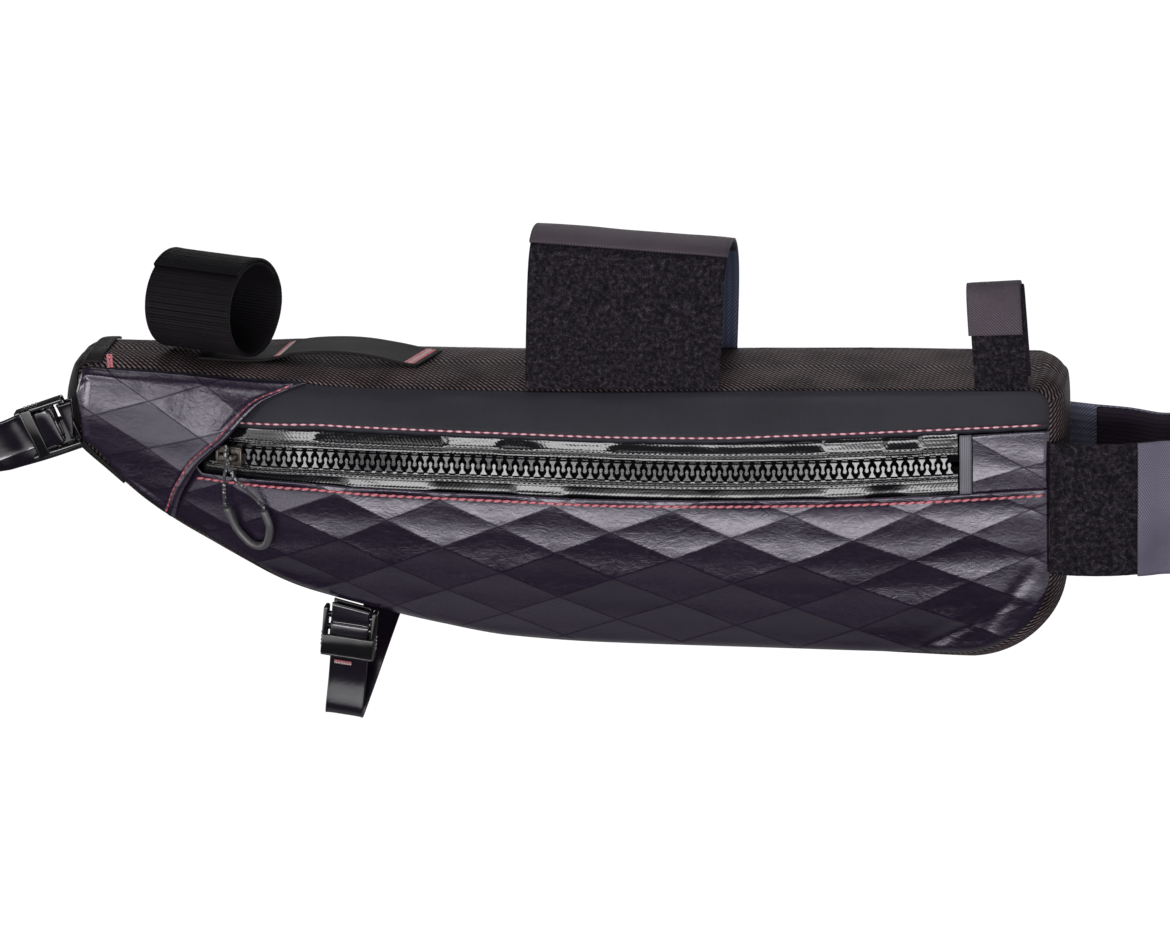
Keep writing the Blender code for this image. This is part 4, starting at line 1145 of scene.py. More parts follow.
def rim_spots():
    """Spots round the side's outline: x, z, the way outwards, and the band's swell there."""
    found = []

    def crest(x):
        along = (x - NOSE_X) / PANEL_LENGTH
        return SWELL * (read(TOP, "rise", along) + read(TOP, "drop", along))

    start, stop = NOSE_X + NOSE_CORNER, REAR_X - REAR_CORNER
    for i in range(23):
        x = lerp(start, stop, i / 22)
        found.append((x, seam_top(x), 0, 1, crest(x)))
    centre = seam_top(stop) - REAR_CORNER
    for k in range(1, 5):
        angle = math.radians(90 - 90 * k / 4)
        way = (math.cos(angle), math.sin(angle))
        swell = lerp(crest(stop), REAR_SWELL, (k / 4) ** 0.6)
        found.append((stop + REAR_CORNER * way[0], centre + REAR_CORNER * way[1], *way, swell))
    tail = REAR_X - TAIL_CORNER
    low = seam_bottom(tail) + TAIL_CORNER
    for k in (1, 2):
        found.append((REAR_X, lerp(centre, low, k / 3), 1, 0, REAR_SWELL))
    tail_swell = SWELL * read(SIDE, "swell", (tail - NOSE_X) / PANEL_LENGTH)
    for k in range(9):
        angle = math.radians(-90 * k / 8)
        way = (math.cos(angle), math.sin(angle))
        swell = lerp(REAR_SWELL, tail_swell, k / 8) + 0.22 * SWELL * math.sin(math.pi * k / 8)
        found.append((tail + TAIL_CORNER * way[0], low + TAIL_CORNER * way[1], *way, swell))
    for i in range(1, 24):
        along = lerp((tail - NOSE_X) / PANEL_LENGTH, 0, (i / 24) ** 0.85)
        x, step = at_x(along), 0.001
        rise = (seam_bottom(x + step) - seam_bottom(max(x - step, NOSE_X))) / (2 * step)
        size = math.hypot(rise, 1)
        found.append((x, seam_bottom(x), rise / size, -1 / size, SWELL * read(SIDE, "swell", along)))
    base, top = seam_bottom(NOSE_X), seam_top(NOSE_X)
    found.append((NOSE_X, base, -0.86, -0.51, SWELL * 0.80))
    for k in (1, 2, 3):
        found.append((NOSE_X, lerp(base, top, k / 3), -1, 0.0, SWELL * (0.95, 0.90, 0.55)[k - 1]))
    centre = seam_top(start) - NOSE_CORNER
    for k in (1, 2):
        angle = math.radians(180 - 30 * k)
        way = (math.cos(angle), math.sin(angle))
        swell = SWELL * lerp(0.55, 0.20, k / 2)
        found.append((start + NOSE_CORNER * way[0], centre + NOSE_CORNER * way[1], *way, swell))
    return found


def fine_rim(steps):
    """The closed walk with steps spots between each two, on a smooth curve."""
    spots = rim_spots()
    count = len(spots)
    made = []
    for i in range(count):
        rows = [spots[(i + k) % count] for k in (-1, 0, 1, 2)]
        for step in range(steps):
            made.append(tuple(bend(*four, step / steps) for four in zip(*rows)))
    return made


def band_point(spot, v, lift):
    x, z, way_x, way_z, swell = spot
    past = max(0, (abs(v) - FLAT) / (1 - FLAT))
    push = swell * (1 - past**2.2) + lift
    return Vector((x + way_x * push, v * half(x), z + way_z * push))


RIM = fine_rim(6)
travel = [0.0]
for i in range(len(RIM)):
    a, b = RIM[i], RIM[(i + 1) % len(RIM)]
    travel.append(travel[-1] + math.hypot(b[0] - a[0], b[1] - a[1]))
print("seam length", round(travel[-1], 4), "m in", len(RIM), "spots")

# %% Mesh band
bm = flat_cloth(len(RIM), 40)
flat = bm.loops.layers.uv.new("weave")
for face in bm.faces:
    for corner in face.loops:
        i = round(corner.vert.co.x * len(RIM))
        v = 2 * corner.vert.co.y - 1
        corner[flat].uv = (travel[i], v * half(RIM[i % len(RIM)][0]) * 1.12)
for vert in bm.verts:
    spot = RIM[round(vert.co.x * len(RIM)) % len(RIM)]
    v = 2 * vert.co.y - 1
    v = math.copysign(abs(v) ** 0.8, v)
    soft = 0.0007 * shake((spot[0], v * 0.03, spot[1]), 30, 1.7) * (1 - v**6)
    vert.co = band_point(spot, v, soft - ridge(1 - abs(v), 0.0006, 0.035))
bmesh.ops.remove_doubles(bm, verts=bm.verts, dist=1e-6)
bmesh.ops.recalc_face_normals(bm, faces=bm.faces)
piece(bm, "mesh_band", [cloths["mesh_twill"]], ("gusset",), thick=GUSSET_CLOTH)

# %% Nose patch
near = [s for s in RIM if s[0] < NOSE_X + 0.045 * PANEL_LENGTH and s[1] < -NOSE_CORNER]
high = [s for s in RIM if s[0] < NOSE_X + 0.03 * PANEL_LENGTH and s[1] >= -NOSE_CORNER]
low_part = sorted(near, key=lambda s: s[1])
high_part = sorted(high, key=lambda s: s[0])
patch_spots = low_part + high_part
bm = flat_cloth(len(patch_spots) - 1, 24)


def patch_place(u, v):
    i = round(u * (len(patch_spots) - 1))
    edge = ease(min(u, 1 - u) / 0.06)
    across = (2 * v - 1) * 0.97
    return band_point(patch_spots[i], across, 2 * GAP + 0.001 + 0.0004 * edge * shake((u, v, 0), 5, 2.2))


lay(bm, (0.055, 0.04), patch_place)
face_towards(bm, Vector((-1, 0, 0)))
piece(bm, "nose_cover", [cloths["patch_cloth"]], ("nose_patch",), thick=0.001)

# %% [markdown]
# ## The nose flap
# A laminate flap covers the zip's first few centimetres, so that the slider parks under it.
# Its free edge is a folded lip that curls away from the bag. The flap is the same film, laid
# over the side with a belly under its top seam and a lift that grows towards the lip. Its
# own small grid is fine enough to show the creases, so it isn't cut along the threads.


# %% Flap over the zip's start
def flap_width(down):
    return read(FLAP, "along", down, "down")


FLAP_SPIN = (-0.195, -0.035, math.radians(5), 0.012, -0.0005)
FLAP_BELLY = (0.0068, 0.0018)
LIP_HEM = 0.0042


def flap_lift(along, down):
    """How far the flap stands off the side: a soft belly at its top, and a curl at its lip."""
    x = at_x(along)
    w = min(max(along / flap_width(down), 0), 1)
    deep = (seam_top(x) - seam_bottom(x)) * down
    size = lerp(*FLAP_BELLY, ease((along - 0.045) / 0.05))
    belly = size * ease(deep / 0.007) * (1 - ease(deep / 0.050))
    return 0.0008 + read(FLAP, "lift", down, "down") * w**2.5 + belly


def flap_stand(a, b):
    """How far out the flap stands at a crossing of two threads."""
    x, z = spin(*from_lattice(a, b), FLAP_SPIN, True)
    along = min(max((x - NOSE_X) / PANEL_LENGTH, 0), 1)
    down = down_of(along, z)
    return front(along, down, -flap_lift(along, down)).y


def flap_point(w, down):
    """A point of the flap, at a share of its width and down it, and its place in the lattice."""
    along = flap_width(down) * w
    spot = front(along, down, 0)
    to_lip = flap_width(down) * (1 - w) * PANEL_LENGTH
    lift = flap_lift(along, down)
    a, b = to_lattice(*spin(spot.x, spot.z, FLAP_SPIN))
    edge = min(seam_top(spot.x) - spot.z, spot.z - seam_bottom(spot.x), spot.x - NOSE_X)
    keep = ease(edge / 0.006) * ease(to_lip / 0.008)
    height = 0.9 * relief(a, b) * keep + 0.0008 * shake(spot, 30, 5.5) * keep
    roll = ridge(to_lip, 0.0012, 0.0011)
    groove = ridge(to_lip - LIP_HEM, 0.0004, 0.0009)
    seam = ridge(max(edge, 0), SEAM_DIP, SEAM_FADE)
    flatter = mixed([flap_stand(*spot) for spot in corners(a, b)], a, b) - front(along, down, -lift).y
    spot = front(along, down, -lift - height - PANEL_CLOTH + roll + groove + seam)
    return spot + Vector((0, STIFFNESS * keep * flatter, 0)), a, b


bm = flat_cloth(90, 80)
flat = bm.loops.layers.uv.new("weave")
lattice = bm.loops.layers.uv.new("lattice")
places = {vert.index: flap_point(vert.co.x**0.8, vert.co.y) for vert in bm.verts}
for face in bm.faces:
    for corner in face.loops:
        _, a, b = places[corner.vert.index]
        corner[lattice].uv = (a, b)
        corner[flat].uv = from_lattice(a, b)
for vert in bm.verts:
    vert.co = places[vert.index][0]
face_towards(bm, SHOWN)
piece(bm, "nose_flap", [film], ("zip_garage",), thick=PANEL_CLOTH)

# %% [markdown]
# ## The zip
# A coated zip has two glossy tapes with raised lines along them, and coarse moulded teeth
# that grip in turn from above and below. One tooth is drawn as a flat outline, extruded and
# bevelled, and then copied along the chain: a wide foot, a thin neck and a round head. The
# neighbours' heads fit between its neck and theirs. The tapes gleam in patches. Paint could
# fake that, but here each tape leans a little in or out along its length, as real tapes do:
# it mirrors the light box in one lean, and the dark part of the floor in the other.


# %% Tables for the tapes
TAPE_CLOTH = 0.0007
TAPE_DEEP = 0.0020
TAPE_INNER = 0.0012
TAPE_LINES = {
    "at": (0.0014, 0.0022, 0.0034, 0.0078),
    "high": (0.00030, -0.00018, 0.00012, 0.00022),
    "wide": (0.0005, 0.0003, 0.0004, 0.0009),
}
TAPE_GLEAM = {
    "along": (
        0.13, 0.175, 0.187, 0.248, 0.262, 0.28, 0.292, 0.368, 0.385,
        0.397, 0.438, 0.455, 0.468, 0.498, 0.508, 0.520, 0.550, 0.570,
        0.770, 0.785, 0.812, 0.832, 0.842, 0.868, 0.878, 0.90, 0.911,
    ),
    "upper": (
        0, 0, 1, 1, 0.1, 0, 0.1, 0, 0,
        1, 1, 0.1, 0.1, 0.9, 1, 1, 1, 0.25,
        0.25, 1, 1, 1, 0, 0, 1, 1, 0.5,
    ),
    "lower": (
        0, 0, 0, 0.1, 0.1, 0.2, 1, 1, 0,
        0, 0.1, 0.1, 1, 1, 1, 0.1, 0.1, 0.30,
        0.30, 1, 1, 0, 0, 1, 1, 1, 1,
    ),
}
GLEAM_LEAN = {"upper": (0.20, -0.15), "lower": (-0.18, 0.05)}
print("places in the gleam table:", len(TAPE_GLEAM["along"]))


# %% Coated tapes
def tape_cloth(name, node, outer, sign):
    """A tape from its outer line to the chain; sign says on which side of the chain it lies."""

    def place(u, v):
        along = lerp(ZIP_START, CHAIN_END, u)
        inner = zip_line(along, "chain", sign * TAPE_INNER)
        down = lerp(zip_line(along, outer), inner, v)
        x = at_x(along)
        tall = seam_top(x) - seam_bottom(x)
        from_chain = abs(inner - down) * tall - (CHAIN_WIDTH / 2 - TAPE_INNER)
        lines = sum(ridge(from_chain - at, high, wide) for at, high, wide in zip(*TAPE_LINES.values()))
        gleam = read(TAPE_GLEAM, outer, along) + 0.25 * shake((x, 0, 0), 70, 3.0 + sign)
        lean = lerp(*GLEAM_LEAN[outer], min(max(gleam, 0), 1))
        free = ease(from_chain / 0.003)
        deep = max(TAPE_DEEP - sign * lean * (from_chain - 0.003) * free, 0.8 * TAPE_DEEP)
        return front(along, down, deep - lines)

    bm = flat_cloth(360, 40)
    lay(bm, ((CHAIN_END - ZIP_START) * PANEL_LENGTH, PANEL_HEIGHT * 0.12), place)
    flat = bm.loops.layers.uv["weave"]
    for face in bm.faces:
        for corner in face.loops:
            spot = corner.vert.co
            middle = -PANEL_HEIGHT * read(ZIP, "chain", (spot.x - NOSE_X) / PANEL_LENGTH)
            corner[flat].uv = (spot.x, abs(spot.z - middle) - CHAIN_WIDTH / 2)
        # Faces under the teeth take the matt black: painted shade between the teeth.
        if max(corner[flat].uv.y for corner in face.loops) < 0:
            face.material_index = 1
    face_towards(bm, SHOWN)
    piece(bm, name, [coated, painted_shade_black], (node,), thick=TAPE_CLOTH)


tape_cloth("coated_tape_upper", "zip_tape_upper", "upper", -1)
tape_cloth("coated_tape_lower", "zip_tape_lower", "lower", 1)

# %% One tooth
TOOTH_THICK = 0.0025
TOOTH_FOOT = 0.0012
TOOTH_ROWS = {
    "reach": (0.0, 0.0007, 0.0013, 0.0021, 0.0029, 0.0036, 0.0044, 0.0052, 0.0057),
    "wide": (0.00185, 0.00178, 0.00135, 0.00085, 0.00065, 0.00082, 0.00106, 0.0009, 0.0004),
}


def one_tooth():
    """A tooth that lies along +Y from its foot, with its face towards +Z and a toe behind it."""
    bm = bmesh.new()
    outline = [(wide, reach) for reach, wide in zip(*TOOTH_ROWS.values())]
    outline += [(-wide, reach) for wide, reach in reversed(outline)]
    face = bm.faces.new([bm.verts.new((x, y, -TOOTH_FOOT)) for x, y in outline])
    raised = bmesh.ops.extrude_face_region(bm, geom=[face])
    tops = [item for item in raised["geom"] if isinstance(item, bmesh.types.BMVert)]
    bmesh.ops.translate(bm, verts=tops, vec=(0, 0, TOOTH_THICK))
    toe = Matrix.Translation((0, -0.0009, 0)) @ Matrix.Diagonal((0.0030, 0.0006, 0.0016, 1))
    bmesh.ops.create_cube(bm, size=1, matrix=toe)
    bmesh.ops.recalc_face_normals(bm, faces=bm.faces)
    rim_edges = [e for e in bm.edges if all(v.co.z > 0.0005 for v in e.verts)]
    bmesh.ops.bevel(
        bm, geom=rim_edges, offset=0.00022, segments=1, profile=0.5, affect="EDGES", material=-1
    )
    return bm


# %% Row of teeth
def add_copy(bm, source, matrix):
    """Copies the source mesh into bm, moved by a matrix."""
    mesh = bpy.data.meshes.new("copy")
    source.to_mesh(mesh)
    mesh.transform(matrix)
    bm.from_mesh(mesh)
    bpy.data.meshes.remove(mesh)


TOOTH_SINK = 0.0013
tooth = one_tooth()
bm = bmesh.new()
chain_from, chain_to = at_x(CHAIN_START), at_x(CHAIN_END)
tooth_count = int((chain_to - chain_from) / TOOTH_PITCH)
for i in range(2 * tooth_count):
    x = chain_from + (i + 0.5) * TOOTH_PITCH / 2
    middle = -PANEL_HEIGHT * read(ZIP, "chain", (x - NOSE_X) / PANEL_LENGTH)
    way = 1 if i % 2 else -1
    foot, along_way, up_way, out_way = surface_frame(x, middle - way * (CHAIN_WIDTH / 2 - TOOTH_SINK))
    tip = 0.06 + 0.03 * way + 0.17 * shake((x, 0, 0), 22, 11.3)
    tipped = Matrix.Rotation(tip, 3, along_way)
    out_way = tipped @ out_way if (tipped @ out_way).z > out_way.z else tipped.inverted() @ out_way
    reach = up_way * way
    sideways = reach.cross(out_way).normalized()
    reach = out_way.cross(sideways)
    matrix = Matrix((sideways, reach, out_way)).transposed().to_4x4()
    matrix.translation = foot - out_way * 0.0010
    add_copy(bm, tooth, matrix)
tooth.free()
zip_teeth = piece(bm, "zip_teeth", [moulded], ("zip_chain",))
zip_teeth.data.shade_flat()

# %% Grey tab at the chain's end
bm = flat_cloth(10, 24)


def tab_place(u, v):
    along = END_TAB + END_TAB_LONG * u
    hem = ridge(min(u, 1 - u), 0.0005, 0.10)
    return front(along, lerp(under_strip(along), over_side(along), v), -0.0006 + hem)


lay(bm, (0.006, 0.030), tab_place)
face_towards(bm, SHOWN)
piece(bm, "end_tab", [cloths["tab_tape"]], ("zip_end_tab",), thick=0.0014)


# %% [markdown]
# ## The slider
# The slider's body is a plate with two flanges that grip the teeth, and a bail that the cord
# passes through. Each part starts as a cube, is scaled into place and bevelled. A swept strip
# makes the bail, because it is one bent wire.

# %% Slider
def add_block(bm, place, axes, sizes, bevel, segments=2):
    """A rounded block: its sides run along three axes."""
    matrix = Matrix([axis * size for axis, size in zip(axes, sizes)]).transposed().to_4x4()
    matrix.translation = place
    made = bmesh.ops.create_cube(bm, size=1, matrix=matrix)
    edges = dict.fromkeys(edge for vert in made["verts"] for edge in vert.link_edges)
    bmesh.ops.bevel(
        bm, geom=list(edges), offset=bevel, segments=segments, profile=0.5, affect="EDGES", material=-1
    )


BAR_OUTLINE = (
    (-1, -0.6), (-0.7, -1), (0.7, -1), (1, -0.6), (1, 0.6), (0.7, 1), (-0.7, 1), (-1, 0.6),
)


def add_strip(bm, path, side, width, thick):
    """A bent bar with a flat section along a path."""
    rings = []
    for place, way in zip(path, tangents(path)):
        out_way = way.cross(side).normalized()
        spots = [place + side * (a * width / 2) + out_way * (b * thick / 2) for a, b in BAR_OUTLINE]
        rings.append([bm.verts.new(spot) for spot in spots])
    for one, two in zip(rings, rings[1:]):
        edges = []
        for ring in (one, two):
            for k in range(len(ring)):
                pair = (ring[k], ring[(k + 1) % len(ring)])
                edges.append(bm.edges.get(pair) or bm.edges.new(pair))
        bmesh.ops.bridge_loops(bm, edges=edges)
    for ring in (rings[0], rings[-1]):
        bm.faces.new(ring)


SLIDER_BLOCKS = {
    "ahead": (0, -0.0004, -0.0004, -0.0066, 0.0064),
    "up": (0, -0.0048, 0.0048, 0, 0),
    "sizes": (
        (0.0136, 0.0098, 0.0018), (0.0146, 0.0012, 0.0028), (0.0146, 0.0012, 0.0028),
        (0.0018, 0.0062, 0.0026), (0.0016, 0.0100, 0.0026),
    ),
    "bevel": (0.0006, 0.0004, 0.0004, 0.0005, 0.0005),
}
BAIL_REACH = 0.00475
BAIL_WIDE = 0.0036
bm = bmesh.new()
for move_ahead, move_up, sizes, bevel in zip(*SLIDER_BLOCKS.values()):
    add_block(bm, slider_base + ahead * move_ahead + up * move_up, (ahead, up, out), sizes, bevel)
arch = []
for k in range(17):
    angle = math.pi * k / 16
    rise = bail_rise * min(1, 1.25 * math.sin(angle))
    arch.append(slider_base - ahead * (BAIL_REACH * math.cos(angle)) + out * rise)
add_strip(bm, arch, up, BAIL_WIDE, BAIL_WIRE)
bmesh.ops.recalc_face_normals(bm, faces=bm.faces)
piece(bm, "bronze_slider", [bronze], ("zip_slider",))

# %% [markdown]
# ## The straps
# Every strap is a ribbon: a path, the direction of its width, and a thickness. The pile loops
# have a twill backing, so the ribbon's inner wall takes a second material from the Solidify
# modifier. A strap's weave follows its own length through the UV map.


# %% Helper for ribbons
ROUND_EDGE = 0.00025


def ribbon(name, looks, path, wide, width, thick, nodes, lift=0.0, cells=12, wave=None, low=True):
    """A strap that fills lift to lift + thick over a path; low says which face looks outwards."""
    ways = tangents(path)
    last = len(path) - 1
    sides = [Vector(wide[i] if isinstance(wide, list) else wide).normalized() for i in range(last + 1)]
    outs = [way.cross(side).normalized() for way, side in zip(ways, sides)]
    length = path_length(path)
    face, sign = (lift, -1) if low else (lift + thick, 1)
    bm = flat_cloth(last, cells)

    def place(u, v):
        i = round(u * last)
        across = (2 * v - 1) * width / 2
        edge = ROUND_EDGE * (2 * v - 1) ** 8
        push = 0.0 if wave is None else wave(u * length, across)
        return path[i] + sides[i] * across + outs[i] * (face + sign * (push - edge))

    lay(bm, (length, width), place)
    if low:
        bmesh.ops.reverse_faces(bm, faces=bm.faces)
    return piece(bm, name, looks, nodes, thick)


# %% Helpers for the loops
LOOP_CLOTH = 0.0016
FINE = 12


def loop_path(centre, span, height, rows, lean, tilt):
    """A loop over the tube from its table, and the way of its width, tilted more towards its top."""
    points = [(centre + lean * h, span * a, height * h) for a, h in zip(rows["across"], rows["up"])]
    track = smooth(points, FINE)
    top = max(p.z for p in track)
    wide = [Vector((1, 0, lerp(tilt[0], tilt[1], min(max(p.z / top, 0), 1)))) for p in track]
    return track, wide


def fuzz(along, across):
    """The pile's fine unevenness."""
    return 0.00028 * noise.noise(Vector((along * 900, across * 900, 0)))


def soft_wave(amount, scale, seed):
    return lambda along, across: amount * noise.noise(Vector((along * scale + seed, across * scale, seed)))


# %% Wide loop
MID_ROWS = {
    "across": (-0.526, -0.54, -0.53, -0.50, -0.43, -0.30, -0.12, 0.08, 0.26, 0.38, 0.44, 0.475),
    "up": (-0.026, 0.20, 0.50, 0.78, 0.92, 0.985, 0.985, 0.93, 0.80, 0.62, 0.35, -0.04),
}
MID_WIDTH = 0.098
track, wide = loop_path(at_x(0.5723), DEPTH, 0.0715, MID_ROWS, 0.0045, (0.016, -0.075))
cut = int(len(track) * 0.70)
ribbon(
    "wide_pile", [pile, cloths["black_cloth"]], track[:cut], wide[:cut], MID_WIDTH, LOOP_CLOTH,
    ("mid_loop_pile",), cells=110, wave=fuzz,
)
cut = int(len(track) * 0.395)
ribbon(
    "wide_hook", [cloths["hook_tape_back"], cloths["navy_twill"]], track[cut:], wide[cut:],
    MID_WIDTH + 0.001, LOOP_CLOTH, ("mid_loop_hook",), lift=-LOOP_CLOTH - GAP, cells=40,
    wave=soft_wave(0.0004, 40, 1.2),
)

# %% Narrow rear loop
REAR_ROWS = {
    "across": (-0.522, -0.53, -0.515, -0.49, -0.455, -0.40, -0.34, -0.29, -0.26, -0.24, -0.22),
    "up": (0.006, 0.25, 0.55, 0.80, 0.93, 0.985, 0.975, 0.90, 0.65, 0.35, 0.03),
}
REAR_WIDTH = 0.0265
rear_at = at_x(0.9534)
track, wide = loop_path(rear_at, 2 * half(rear_at), 0.0515, REAR_ROWS, -0.003, (0.01, 0.07))
ribbon(
    "narrow_pile", [pile, cloths["black_cloth"]], track, wide, REAR_WIDTH, LOOP_CLOTH,
    ("rear_loop_pile",), cells=34, wave=fuzz,
)
start, stop = int(len(track) * 0.20), int(len(track) * 0.70)
shifted = [spot - Vector((0.0012, 0, 0)) for spot in track[start:stop]]
ribbon(
    "narrow_hook", [cloths["hook_tape_back"], cloths["navy_twill"]], shifted, wide[start:stop],
    REAR_WIDTH, LOOP_CLOTH, ("rear_loop_hook",), lift=-LOOP_CLOTH - GAP, cells=16,
    wave=soft_wave(0.0003, 60, 4.2),
)

# %% Rolled front loop
ROLL_WIDTH = 0.0508
ROLL_RADIUS = 0.0250
ROLL_TURN = math.radians(20)
ROLL_TALL, ROLL_SAT = 1.03, 0.99
ROLL_SPOTS = 520
RIB = 0.0016
roll_x = at_x(0.1366)
roll_centre = Vector((roll_x, -0.001, top_z(roll_x) + ROLL_TALL * ROLL_RADIUS + LOOP_CLOTH / 2))
roll_axis = Vector((math.cos(ROLL_TURN), -math.sin(ROLL_TURN), 0))
roll_near = Vector((-math.sin(ROLL_TURN), -math.cos(ROLL_TURN), 0))
path = []
for i in range(ROLL_SPOTS + 1):
    angle = lerp(150, -302, i / ROLL_SPOTS)
    coil = max(0, min(1, (angle + 195) / 60))
    radius = ROLL_RADIUS - (LOOP_CLOTH + GAP) * (3 * coil**2 - 2 * coil**3)
    angle = math.radians(angle)
    squash = ROLL_TALL if math.sin(angle) > 0 else ROLL_SAT
    rise = Vector((0, 0, radius * squash * math.sin(angle)))
    path.append(roll_centre + roll_near * (radius * math.cos(angle)) + rise)


def ribs(along, across):
    rough = 0.00005 * noise.noise(Vector((along * 300, across * 300, 0)))
    return 0.00013 * math.sin(along * 2 * math.pi / RIB) + rough


ribbon(
    "rolled_loop", [cloths["ribbed_elastic"]], path, roll_axis, ROLL_WIDTH, LOOP_CLOTH,
    ("front_loop",), lift=-LOOP_CLOTH / 2, cells=26, wave=ribs,
)

# %% Strip on the top band
DAISY_ROWS = {
    "along": (0.122, 0.145, 0.173, 0.193, 0.210, 0.230, 0.262, 0.290, 0.319, 0.345, 0.361),
    "lift": (0.0, 0.0, 0.0, 0.08, 0.28, 0.52, 0.72, 0.66, 0.44, 0.16, 0.06),
}
STRIP_WIDTH = 0.025
STRIP_SKEW = 0.36
strip_path = smooth(
    [(at_x(a), 0, top_z(at_x(a)) + GAP + SWELL * h) for a, h in zip(*DAISY_ROWS.values())], FINE
)
wide = [(STRIP_SKEW * i / (len(strip_path) - 1), 1, 0) for i in range(len(strip_path))]
ribbon(
    "top_strip", [cloths["patch_cloth"]], strip_path, wide, STRIP_WIDTH, 0.0013,
    ("daisy_strip",), cells=16, wave=soft_wave(0.0003, 60, 2.6),
)

# %% Seat tube's strap
SEAT_WIDTH = 0.069
SEAT_REACH = 0.082
SEAT_TUBE = 0.0195
SEAT_DOWN = 0.443
SEAT_PILE_END = 0.018
SEAT_HOOK_END = 0.0425
side = half(REAR_X) + GAP
end = REAR_X + SEAT_REACH - SEAT_TUBE - 0.004
route = [
    (REAR_X + GAP, -side - 0.0006), (REAR_X + 0.012, -side - 0.0026), (REAR_X + 0.030, -side - 0.0020),
    (REAR_X + 0.046, -side * 0.94), (end - 0.004, -side * 0.84),
]
for k in range(1, 8):
    angle = math.radians(-90 + 180 * k / 8)
    route.append((end + SEAT_TUBE * 1.05 * math.cos(angle), -0.0055 + SEAT_TUBE * math.sin(angle)))
lap = LOOP_CLOTH + GAP
route += [
    (end - 0.006, side * 0.46 - lap), (REAR_X + 0.036, side * 0.70 - lap),
    (REAR_X + 0.018, side * 0.90 - 2 * lap), (REAR_X + 0.0085, side * 0.99 - 2 * lap),
    (REAR_X + 2 * GAP, side + 0.0014 - 2 * lap),
]
track = smooth([(x, y, -SEAT_DOWN * PANEL_HEIGHT) for x, y in route], FINE)
last = max(i for i, spot in enumerate(track) if spot.x > REAR_X + SEAT_PILE_END)
ribbon(
    "seat_pile", [pile, cloths["black_cloth"]], track[:last], (0, 0, 1), SEAT_WIDTH, LOOP_CLOTH,
    ("seat_loop_pile",), cells=80, wave=fuzz, low=False,
)
start = next(i for i, spot in enumerate(track) if spot.x > REAR_X + SEAT_HOOK_END)
# The seat strap's hook tape and twill take the lighter copies: painted light.
ribbon(
    "seat_hook", [cloths["seat_tape_back_lit"], cloths["seat_twill_lit"]], track[start:], (0, 0, 1),
    SEAT_WIDTH + 0.0006, LOOP_CLOTH, ("seat_loop_hook",), lift=lap, cells=30,
    wave=soft_wave(0.0004, 40, 7.7), low=False,
)

# %% [markdown]
# ## Webbing and ladder locks
# A ladder lock grips webbing that is threaded round its two bars. Rounded blocks make its
# rails, bars and front plate, and the webbing's path is led round the bars at a small
# clearance. The bars' distances are named once, so the lock and its webbing can't drift apart.

# %% Ladder lock
WEBBING = 0.020
WEBBING_CLOTH = 0.0014
BUCKLE_WIDTH = 0.028
BUCKLE_LENGTH = 0.027
BAR = 0.0032
RAIL = 0.0026
BAR_GAP = 0.0007
LOW_BAR_AT = -0.001
CORNER = 0.0010
GRIPS = 4


def ladder_lock(name, node, place, along, across, top_at, plate_long):
    """A lock at a place, turned by its two ways; gives its ways across, along and out."""
    along = along.normalized()
    across = (across - along * across.dot(along)).normalized()
    out_way = along.cross(across)
    out_way = -out_way if out_way.y > 0 else out_way
    axes = (across, along, out_way)
    bm = bmesh.new()
    for sign in (-1, 1):
        spot = place + across * (sign * (BUCKLE_WIDTH - RAIL) / 2) + out_way * 0.0017
        add_block(bm, spot, axes, (RAIL, BUCKLE_LENGTH, 0.0064), 0.0011, 3)
        grip = spot + across * (sign * RAIL / 2)
        for k in range(GRIPS):
            add_block(bm, grip + along * (0.0012 + 0.0022 * k), axes, (0.0006, 0.0010, 0.0048), 0.0002, 1)
    for bar_at in (top_at, LOW_BAR_AT):
        add_block(bm, place + along * bar_at, axes, (BUCKLE_WIDTH - 0.001, BAR, BAR * 0.8), CORNER, 3)
    plate = place + along * (BUCKLE_LENGTH * 0.27) + out_way * 0.0047
    add_block(bm, plate, axes, (BUCKLE_WIDTH - 0.0008, plate_long, 0.0016), 0.0006, 3)
    lip = plate + along * (plate_long / 2 - 0.0006) + out_way * 0.0004
    add_block(bm, lip, axes, (BUCKLE_WIDTH - 0.0012, 0.0011, 0.0018), 0.0004, 3)
    bmesh.ops.recalc_face_normals(bm, faces=bm.faces)
    piece(bm, name, [gloss], (node,))
    return axes


# %% Webbing round the bars
BESIDE = BAR / 2 + BAR_GAP + WEBBING_CLOTH / 2
ABOVE = BAR * 0.4 + BAR_GAP + WEBBING_CLOTH / 2
BEND_TURN = 0.0150


def round_bar(place, axes, bar_at, way):
    """Places of webbing that turns round a bar, on the side that way gives."""
    across, along, out_way = axes
    return [
        place + along * (bar_at + way * BESIDE * far) + out_way * (ABOVE * high)
        for far, high in ((0.5, 1), (0.93, 0.56), (1, 0), (0.93, -0.56), (0.5, -1))
    ]


def web_bends(twist):
    """Slow bends along the webbing, turns of a size about its length, and a crown across it."""

    def wave(along, across):
        bends = 0.0004 * noise.noise(Vector((along * 90, 2.4, across * 10)))
        turned = across * twist * math.sin(along * 2 * math.pi / BEND_TURN + 1.0)
        return bends + turned + 0.00012 * (1 - (across / (WEBBING / 2)) ** 4)

    return wave


def web(name, node, track, wide, twist):
    ribbon(
        name, [webbed], track, wide, WEBBING, WEBBING_CLOTH, (node,),
        lift=-WEBBING_CLOTH / 2, cells=30, wave=web_bends(twist),
    )


